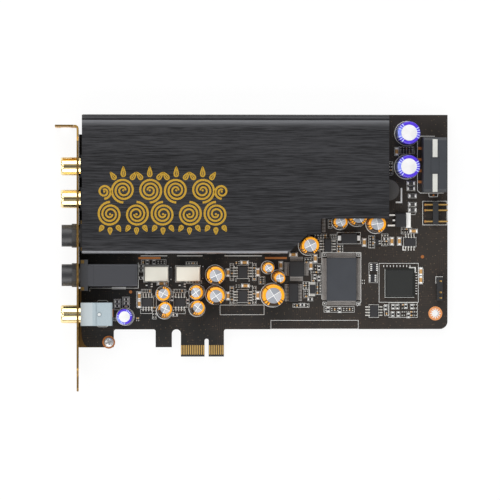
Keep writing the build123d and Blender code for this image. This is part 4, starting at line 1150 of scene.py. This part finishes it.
def chip_parts(name, node, slot, length, width, height, body_finish, end_share):
    shape = Shape()
    spots = spots_of(node)
    end = length * end_share
    body = brick((length - 0.3, width - 0.06, height - 0.05), (0, 0, 0.02), 0.06)
    grey = [spot for spot in spots if spot[0][0] > GREY_FROM_X and spot[0][1] > GREY_FROM_Y]
    shape.take(scattered(body, [spot for spot in spots if spot not in grey], body_finish))
    if grey:
        shape.take(scattered(body, grey, FERRITE))
    for sign in (-1, 1):
        cap = brick((end, width, height), (sign * (length - end) / 2, 0, 0.01), 0.08)
        shape.take(scattered(cap, spots, BRIGHT_TIN))
        foot = brick((end * 0.9, width * 1.12, 0.14), (sign * (length / 2 + 0.02), 0, 0), 0.1)
        shape.take(scattered(foot, spots, SOLDER))
    return shape.piece(name, slot, node)


chip_parts("capacitor_chips", "chip_capacitors", "chip_tan", 3.2, 1.25, 1.0, CHIP_TAN, 0.2)
chip_parts("resistor_chips", "chip_resistors", "resistor_black", 1.7, 0.9, 0.5, RESISTOR_BLACK, 0.22)

# %% [markdown]
# ## The smallest parts
#
# Between the packages stand groups of parts a millimetre long. Each group is a field on the board
# with a number of columns and rows. A spot is used only if nothing of the CAD model stands there,
# so the fields may be drawn generously. Every fourth part is a capacitor, the others are resistors.

# %% Fields of small parts: left, right, low, high, columns and rows
FIELDS = (
    (28.4, 39.4, 41.8, 43.9, 8, 1), (27.0, 29.2, 38.6, 41.2, 1, 2), (27.0, 29.2, 34.4, 36.8, 1, 2),
    (16.0, 18.8, 21.4, 26.0, 1, 4), (19.8, 22.8, 22.2, 27.0, 1, 4), (24.0, 26.0, 20.6, 22.6, 1, 1),
    (15.2, 17.4, 16.0, 18.0, 1, 2), (25.4, 27.8, 16.0, 18.0, 1, 2), (28.4, 32.6, 29.1, 30.5, 4, 1),
    (28.0, 33.0, 19.7, 21.4, 5, 1), (26.2, 27.9, 22.5, 29.5, 1, 5), (33.4, 34.9, 17.2, 27.4, 1, 7),
    (42.8, 48.4, 29.1, 30.5, 5, 1), (42.2, 48.2, 19.6, 21.4, 5, 1), (41.2, 42.8, 22.6, 29.4, 1, 5),
    (48.2, 49.9, 22.4, 29.6, 1, 5), (35.4, 40.4, 32.4, 34.2, 4, 1), (48.8, 55.6, 33.3, 34.4, 5, 1),
    (48.6, 53.6, 41.8, 43.0, 4, 1), (68.6, 70.1, 34.6, 42.2, 1, 6), (78.8, 80.3, 34.6, 42.2, 1, 6),
    (70.4, 72.0, 34.0, 35.6, 1, 1), (76.4, 78.0, 34.0, 35.6, 1, 1), (70.8, 73.2, 42.0, 43.3, 2, 1),
    (77.2, 79.0, 42.0, 43.3, 1, 1), (68.6, 70.1, 24.0, 31.8, 1, 6), (78.8, 80.3, 24.0, 31.8, 1, 6),
    (70.4, 72.0, 23.6, 25.0, 1, 1), (76.4, 78.0, 23.6, 25.0, 1, 1), (70.8, 73.2, 31.4, 32.7, 2, 1),
    (77.2, 79.0, 31.4, 32.7, 1, 1), (81.8, 84.3, 33.0, 36.2, 2, 2), (102.6, 105.4, 42.2, 44.8, 2, 2),
    (105.4, 110.2, 37.6, 42.0, 3, 3), (105.6, 110.2, 33.8, 37.4, 3, 3), (101.8, 104.4, 30.6, 33.9, 2, 3),
    (107.6, 110.2, 28.2, 33.6, 2, 4), (102.2, 104.2, 26.8, 30.2, 1, 3), (105.6, 109.4, 45.0, 48.0, 3, 2),
    (97.2, 104.4, 22.4, 23.9, 6, 1), (111.4, 125.0, 20.2, 22.6, 10, 1), (107.2, 112.4, 53.4, 55.6, 4, 2),
    (114.2, 117.2, 53.4, 55.4, 3, 1), (117.3, 119.8, 47.2, 50.6, 2, 3), (113.3, 114.9, 58.4, 62.2, 1, 3),
    (131.7, 134.3, 49.4, 54.8, 2, 4), (137.6, 140.4, 50.4, 55.6, 2, 4), (131.9, 135.6, 33.6, 42.4, 2, 6),
    (141.0, 153.8, 17.8, 24.3, 7, 4), (154.9, 156.5, 33.6, 39.6, 1, 4), (128.4, 130.0, 32.6, 35.2, 1, 2),
    (139.0, 140.6, 18.6, 23.4, 1, 3), (146.6, 151.2, 55.8, 58.6, 3, 2), (145.6, 152.2, 92.2, 95.3, 5, 2),
    (140.8, 142.6, 82.6, 88.4, 1, 4), (150.0, 152.8, 64.6, 68.0, 2, 2),
)


print("fields of small parts:", len(FIELDS))

# %% The smallest parts
HALF_PART = (0.7, 0.4)


def standing_boxes():
    """What each CAD node takes up on top of the board, seen from above."""
    boxes = []
    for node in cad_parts:
        if node not in ("circuit_board", "slot_bracket", "shield_cover", "edge_contacts", "ground_strips"):
            boxes += [box for box in solids_of(node) if box[1].z > BOARD_TOP + 0.2]
    return boxes


def covered(x, y, reach_x, reach_y, boxes):
    for low, high in boxes:
        if low.x - reach_x < x < high.x + reach_x and low.y - reach_y < y < high.y + reach_y:
            return True
    return False


def free_spots():
    spots = []
    boxes = standing_boxes()
    for left, right, low, high, columns, rows in FIELDS:
        wide, tall = (right - left) / columns, (high - low) / rows
        turn = math.pi / 2 if tall > wide else 0.0
        reach_x, reach_y = HALF_PART[::-1] if turn else HALF_PART
        for i in range(columns * rows):
            x = left + wide * (i % columns + 0.5)
            y = low + tall * (i // columns + 0.5)
            if not covered(x, y, reach_x, reach_y, boxes):
                spots.append(((x, y, BOARD_TOP), (0.0, 0.0, turn)))
    return spots


SMALL_SPOTS = free_spots()
small = Shape()
resistor_spots = [spot for i, spot in enumerate(SMALL_SPOTS) if i % 4]
small.take(scattered(brick((0.7, 0.52, 0.33), (0, 0, 0.02), 0.04), resistor_spots, RESISTOR_BLACK))
small.take(scattered(brick((0.7, 0.56, 0.5), (0, 0, 0.02), 0.06), SMALL_SPOTS[::4], CHIP_TAN))
for side in (-1, 1):
    small.take(scattered(brick((0.34, 0.62, 0.4), (side * 0.46, 0, 0.01), 0.06), SMALL_SPOTS, TIN))
small.piece("smallest_parts", "solder")

# %% Leads of the transistors and clamp diodes, and ends of the networks
short_leads = Shape()
lead_spots = []
for low, high in solids_of("transistors"):
    middle = (low + high) / 2
    for x, y in ((-1, 0), (1, 0.55), (1, -0.55)):
        lead_spots.append(((middle.x + x * 1.15, middle.y + y, BOARD_TOP), (0.0, 0.0, 0.0)))
for low, high in solids_of("clamp_diodes"):
    middle = (low + high) / 2
    for end in (low.y, high.y):
        lead_spots.append(((middle.x, end, BOARD_TOP), (0.0, 0.0, math.pi / 2)))
short_leads.take(scattered(brick((0.9, 0.5, 0.3), (0, 0, 0), 0.08), lead_spots, BRIGHT_TIN))
network_spots = []
for low, high in solids_of("resistor_networks"):
    for i in range(4):
        y = low.y + (high.y - low.y) * (i + 0.5) / 4
        network_spots += [((x, y, BOARD_TOP), (0.0, 0.0, 0.0)) for x in (low.x, high.x)]
short_leads.take(scattered(brick((0.8, 0.42, 0.64), (0, 0, 0), 0.06), network_spots, BRIGHT_TIN))
short_leads.piece("short_leads", "tinned_lead")

# %% [markdown]
# ## The white print
#
# The board carries outlines of its parts in white ink: rings round the cans, frames round the
# packages, bars at polarised ends. The ink is a film, so these are flat bands a hundredth of a
# millimetre high. Rings and frames take their places from the parts, and single lines from a table.
# One band in the same white, on the bridge's laminate along its left and lower edges, is no ink but
# a painted highlight of those edges.

# %% Rings and frames round the parts
INK = 0.015
RING_GAP = 0.42
PART_FRAMES = {
    "amplifier_chips": (0.35, 0.18),
    "logic_chips": (0.35, 0.18),
    "chip_capacitors": (0.3, 0.14),
    "chip_resistors": (0.3, 0.12),
    "signal_relays": (0.4, 0.18),
}
ink = Shape()


def frame_line(x0, y0, x1, y1, width):
    line = [(x0, y0), (x1, y0), (x1, y1), (x0, y1)]
    ink.add(ribbon(line, width, PRINT_Z, PRINT_Z + INK, closed=True), SILK)


def ink_line(*line, width):
    ink.add(ribbon(list(line), width, PRINT_Z, PRINT_Z + INK), SILK)


for size, x, y, lean_x, lean_y, spin in AUDIO_CAPACITORS + SUPPLY_CAPACITORS:
    radius = size[0] / 2 + RING_GAP
    ink.add(hoop(radius - 0.15, radius + 0.15, PRINT_Z, PRINT_Z + INK, 48), SILK, at(x, y))
    angles = [math.radians(-75 + 10 * i) for i in range(13)]
    arc = [(x + radius * math.cos(angle), y + radius * math.sin(angle)) for angle in angles]
    ink.add(ribbon(arc, 0.6, PRINT_Z, PRINT_Z + INK), SILK)
for node, (gap, width) in PART_FRAMES.items():
    for low, high in solids_of(node):
        frame_line(low.x - gap, low.y - gap, high.x + gap, high.y + gap, width)
for left, right, low, high, columns, rows in FIELDS:
    if columns * rows > 2:
        frame_line(left - 0.1, low - 0.1, right + 0.1, high + 0.1, 0.12)
print("printed faces so far:", len(ink.faces))

# %% Single frames and lines, each with its width
FRAMES = (
    (136.4, 24.6, 154.3, 42.3, 0.16), (87.1, 12.5, 126.9, 16.4, 0.16), (64.0, 19.0, 84.0, 23.4, 0.16),
    (117.3, 51.2, 127.9, 56.4, 0.16), (156.3, 59.8, 167.4, 70.6, 0.2),
)
LINES = (
    (0.2, (110.3, 26.0), (110.3, 47.2), (128.1, 47.2), (128.1, 24.6), (126.4, 22.9)),
    (0.2, (4.9, 29.6), (4.9, 31.1), (26.9, 31.1), (26.9, 42.6)),
    (0.2, (8.2, 24.9), (8.8, 25.5), (12.6, 25.5), (13.2, 24.9)),
    (0.2, (8.2, 14.1), (8.8, 13.6), (12.6, 13.6), (13.2, 14.1)),
    (0.9, (14.9, 31.15), (21.2, 31.15)),
    (0.4, (147.3, 50.3), (147.3, 48.4), (148.7, 48.4)),
    (0.6, (104.6, 27.4), (104.6, 33.9)),
    (0.5, (150.0, 40.35), (152.9, 40.35), (152.9, 37.9)),
    (0.22, (165.9, 74.3), (155.2, 74.3), (153.9, 75.5), (153.9, 98.6), (155.3, 100.2), (161.8, 100.2)),
    (0.22, (159.0, 74.2), (159.3, 72.6), (163.0, 72.6), (163.3, 74.2)),
    (0.3, (70.4, 41.2), (70.4, 40.4), (74.6, 40.4)),
    (0.2, (162.3, 33.0), (162.3, 36.2), (165.6, 36.2)),
    (0.7, (144.0, 70.1), (146.6, 70.1), (146.6, 76.6)),
    (0.3, (28.0, 45.75), (40.0, 45.75)),
    (0.3, (44.5, 45.75), (56.0, 45.75)),
    (0.3, (66.0, 45.75), (83.0, 45.75)),
)
LAMINATE_TOP = 2.48
PROCESSOR_CORNER_XS, PROCESSOR_CORNER_YS = (111.5, 126.9), (24.0, 46.2)
for frame_corners in FRAMES:
    frame_line(*frame_corners)
for width, *line in LINES:
    ink_line(*line, width=width)
# painted highlight: a thin band in the print's white along the laminate's left and lower edges
corner = [(139.0, 39.8), (139.0, 26.8), (152.4, 26.8)]
ink.add(ribbon(corner, 0.12, LAMINATE_TOP, LAMINATE_TOP + INK), SILK)
for x in PROCESSOR_CORNER_XS:
    for y in PROCESSOR_CORNER_YS:
        frame_line(x - 0.8, y - 0.7, x + 0.8, y + 0.7, 0.14)
        ink_line((x - 0.35, y), (x + 0.35, y), width=0.3)
for i in range(9):
    ink_line((138.5 + 1.5 * i, 40.6), (138.5 + 1.5 * i, 41.5), width=0.3)
    ink_line((153.0, 28.5 + 1.2 * i), (153.8, 28.5 + 1.2 * i), width=0.25)
ink.piece("white_print", "relay_white")

# %% [markdown]
# ## Lands and vias
#
# Where the mask is open the copper shows: a wide ring round the mounting hole on both faces, with
# a circle of small vias in it, a ring under the bracket's screw, and a few test spots.

# %% The lands
HOLE_X, HOLE_Y, HOLE_RADIUS, HOLE_LAND = 162.1, 19.5, 1.45, 3.17
VIA_RING, VIA_COUNT = 2.1, 12
TEST_SPOTS = (
    (23.4, 29.4, 0.7), (156.2, 45.3, 0.75), (161.2, 73.3, 0.4),
    (157.5, 61.4, 0.6), (157.5, 66.5, 0.6), (157.5, 69.0, 0.6),
)
lands = Shape()
at_hole = at(HOLE_X, HOLE_Y)
lands.add(hoop(HOLE_RADIUS, HOLE_LAND, BOARD_TOP, BOARD_TOP + 0.03, 48), LAND_COPPER, at_hole)
lands.add(hoop(HOLE_RADIUS, HOLE_LAND, -0.03, 0.0, 48), LAND_COPPER, at_hole)
lands.add(hoop(HOLE_RADIUS, 1.7, BOARD_TOP + 0.01, BOARD_TOP + 0.04, 40), BRIGHT_TIN, at_hole)
lands.add(hoop(2.1, 2.9, BOARD_TOP, BOARD_TOP + 0.03, 40), COPPER, at(SCREW_X, SCREW_Y))
ring_spots = []
for i in range(VIA_COUNT):
    angle = math.tau * i / VIA_COUNT
    x, y = HOLE_X + VIA_RING * math.cos(angle), HOLE_Y + VIA_RING * math.sin(angle)
    ring_spots.append(((x, y, BOARD_TOP + 0.02), (0, 0, 0)))
lands.take(scattered(hoop(0.12, 0.27, 0, 0.05, 12), ring_spots, BRIGHT_TIN))
for x, y, radius in TEST_SPOTS:
    spot = [(0, 0), (radius, 0), (radius, 0.04), (0, 0.05)]
    lands.add(turned(spot, 24), COPPER, at(x, y, BOARD_TOP))
lands.add(brick((0.6, 3.6, 0.04), (15.3, 19.8, BOARD_TOP)), COPPER)
lands.piece("copper_lands", "bare_copper")

# %% [markdown]
# ## Joints on the solder side
#
# Under the board each pin ends in a small cone of solder with the cut tip of the pin in it. The
# CAD boxes give the places, the widths and the heights.

# %% The cones of solder
cones = Shape()
for low, high in solids_of("solder_joints"):
    middle = (low + high) / 2
    wide = min(high.x - low.x, high.y - low.y) / 2
    tall = high.z - low.z
    cone = [(0, 0), (wide * 0.3, 0.0), (wide * 0.36, tall * 0.12), (wide * 0.5, tall * 0.5)]
    cone += [(wide * 0.74, tall * 0.8), (wide, tall * 0.95), (wide, tall), (0, tall)]
    cones.add(turned(cone, 20), SOLDER, at(middle.x, middle.y, low.z))
cones.piece("solder_cones", "solder", "solder_joints", smooth=50)

# %% [markdown]
# ## The ornament on the cover
#
# The cover carries a gold print. Here it is plain scrollwork of the kind found on old friezes: two
# rows of spirals, the upper one set over the gaps of the lower, with leaves above and below and a
# curl at each end. Each stroke is a flat band that tapers, so it all follows from a few numbers.

# %% Spirals, leaves and curls
ORNAMENT_Z = 14.47
FIELD_X, LOWER_ROW, UPPER_ROW = 37.85, 64.6, 75.3
COLUMNS, COLUMN_PITCH = 5, 11.9
SPIRAL_RADIUS, LEAF_RADIUS, SPIRAL_TURNS = 5.5, 6.2, 2.75
END_CURL_X = 26.4


def ornament_finish():
    finish = Finish("gold print")
    fine = finish.noise(finish.object_point(), 1800.0, 3.0)
    shade = finish.mix(fine, linear("8F6F16"), linear("BD9526"))
    return finish.surface(shade, 0.45 + fine * 0.1, 0.2)


GOLD_PRINT = ornament_finish()
ornament = Shape()


def stroke(line, widths):
    ornament.add(ribbon(line, widths, ORNAMENT_Z + 0.005, ORNAMENT_Z + 0.03), GOLD_PRINT)


def leaf(x, y, angle, length, width):
    """The outline of a pointed leaf, with a vein along its middle."""
    way, side = Vector((math.cos(angle), math.sin(angle))), Vector((-math.sin(angle), math.cos(angle)))
    line = []
    for i in range(21):
        t = math.tau * i / 20
        spot = Vector((x, y)) + way * (length / 2 * (1 - math.cos(t)))
        spot += side * (width / 2 * math.sin(t) * (1.25 - 0.5 * (1 - math.cos(t))))
        line.append(tuple(spot))
    stroke(line, 0.62)
    vein = [tuple(Vector((x, y)) + way * length * share) for share in (0.12, 0.45, 0.8)]
    stroke(vein, [0.6, 0.5, 0.25])


def spiral(x, y, radius, start, turns, hand, last=1.0):
    line, widths = [], []
    steps = int(26 * turns)
    for i in range(steps + 1):
        t = i / steps
        r = radius + (last - radius) * t
        angle = start + hand * math.tau * turns * t
        line.append((x + r * math.cos(angle), y + r * math.sin(angle)))
        widths.append(0.98 - 0.2 * t)
    stroke(line, widths)
    eye = turned([(0, 0.005), (0.5, 0.005), (0.5, 0.03), (0, 0.03)], 12)
    ornament.add(eye, GOLD_PRINT, at(x, y, ORNAMENT_Z))


def leaves(x, y, middle, tilts, length, width, shrink=0.0):
    """Leaves round a spiral. Those that tilt away from the middle may be shorter."""
    for tilt in tilts:
        angle = middle + tilt
        foot = (x + LEAF_RADIUS * math.cos(angle), y + LEAF_RADIUS * math.sin(angle))
        leaf(*foot, angle, length - shrink * abs(tilt), width)


print("a spiral has", int(26 * SPIRAL_TURNS), "steps")

# %% The two rows
for column in range(COLUMNS):
    x = FIELD_X + (column - (COLUMNS - 1) / 2) * COLUMN_PITCH
    hand = 1 if column % 2 == 0 else -1
    spiral(x, LOWER_ROW, SPIRAL_RADIUS, math.pi / 2, SPIRAL_TURNS, hand)
    leaves(x, LOWER_ROW, -math.pi / 2, (-0.55, 0.0, 0.55), 2.7, 1.9)
    if column < COLUMNS - 1:
        x += COLUMN_PITCH / 2
        spiral(x, UPPER_ROW, SPIRAL_RADIUS, -math.pi / 2, SPIRAL_TURNS, -hand)
        leaves(x, UPPER_ROW, math.pi / 2, (-0.62, 0.0, 0.62), 4.2, 2.1, 1.0)
for side in (-1, 1):
    spiral(FIELD_X + side * END_CURL_X, UPPER_ROW - 0.6, 3.2, -math.pi / 2, 1.6, -side, 0.9)
ornament.piece("ornament_print", "contact_gold")

# %% [markdown]
# ## Floor, light and camera
#
# The card lies on a pale floor under soft light. Two wide lamps stand beyond its long sides and a
# smaller one beyond the bracket, and a white world fills in, so that plated metal has something
# bright to reflect and a dark gap between. For camera rays the floor mixes in a plain white, so
# that the background is white while the shadow stays.

# %% The floor


def floor_finish():
    finish = Finish("pale floor")
    rays = finish.node("ShaderNodeLightPath")
    outputs = rays.socket.node.outputs
    seen = Value(finish, outputs["Is Camera Ray"])
    paper = {"Base Color": linear("F4F4F4"), "Roughness": 0.9}
    lit = finish.node("ShaderNodeBsdfPrincipled", sockets=paper)
    white = finish.node("ShaderNodeEmission", sockets={"Color": (1, 1, 1, 1), "Strength": 1.0})
    both = finish.node("ShaderNodeMixShader", sockets={0: seen * 0.9, 1: lit, 2: white})
    finish.tree.links.new(both.socket, finish.end.inputs["Surface"])
    return finish.material


bpy.ops.mesh.primitive_plane_add(size=3.0, location=(0, 0, -0.0002))
floor = bpy.context.object
floor.name = "floor"
floor.data.materials.append(floor_finish())

# %% The light
world = bpy.data.worlds.new("studio")
bpy.context.scene.world = world
world.use_nodes = True
background = world.node_tree.nodes["Background"]
background.inputs["Color"].default_value = (1, 1, 1, 1)
background.inputs["Strength"].default_value = 0.4
print("the world fills in with", background.inputs["Strength"].default_value)

# %% The lamps


def add_lamp(name, place, width, depth, power):
    """A rectangular soft lamp that faces the middle of the card."""
    data = bpy.data.lights.new(name, "AREA")
    data.shape = "RECTANGLE"
    data.size, data.size_y = width, depth
    data.energy = power
    lamp = bpy.data.objects.new(name, data)
    bpy.context.collection.objects.link(lamp)
    lamp.location = place
    lamp.rotation_euler = (-Vector(place)).to_track_quat("-Z", "Y").to_euler()


add_lamp("upper soft box", (-0.1, 0.87, 0.68), 1.2, 0.9, 11.0)
add_lamp("lower soft box", (-0.1, -0.87, 0.68), 1.2, 0.9, 11.0)
add_lamp("left soft box", (-1.0, 0.1, 0.7), 0.5, 1.0, 5.0)
print("lamps:", len(bpy.data.lights))

# %% The camera
camera_data = bpy.data.cameras.new("camera")
camera_data.lens = 238.0
camera_data.sensor_width = 36.0
camera_data.clip_end = 10.0
camera = bpy.data.objects.new("camera", camera_data)
bpy.context.collection.objects.link(camera)
camera.location = to_metres((10.0, 55.0, 1501.5))
aim = to_metres((77.6, 48.4, BOARD_TOP))
back = (camera.location - aim).normalized()
right = Vector((0, 1, 0)).cross(back).normalized()
turn = Matrix((right, back.cross(right), back)).transposed()
camera.rotation_euler = turn.to_euler()
bpy.context.scene.camera = camera
bpy.context.scene.view_settings.view_transform = "Standard"
print("camera is", round((aim - camera.location).length, 3), "m away")
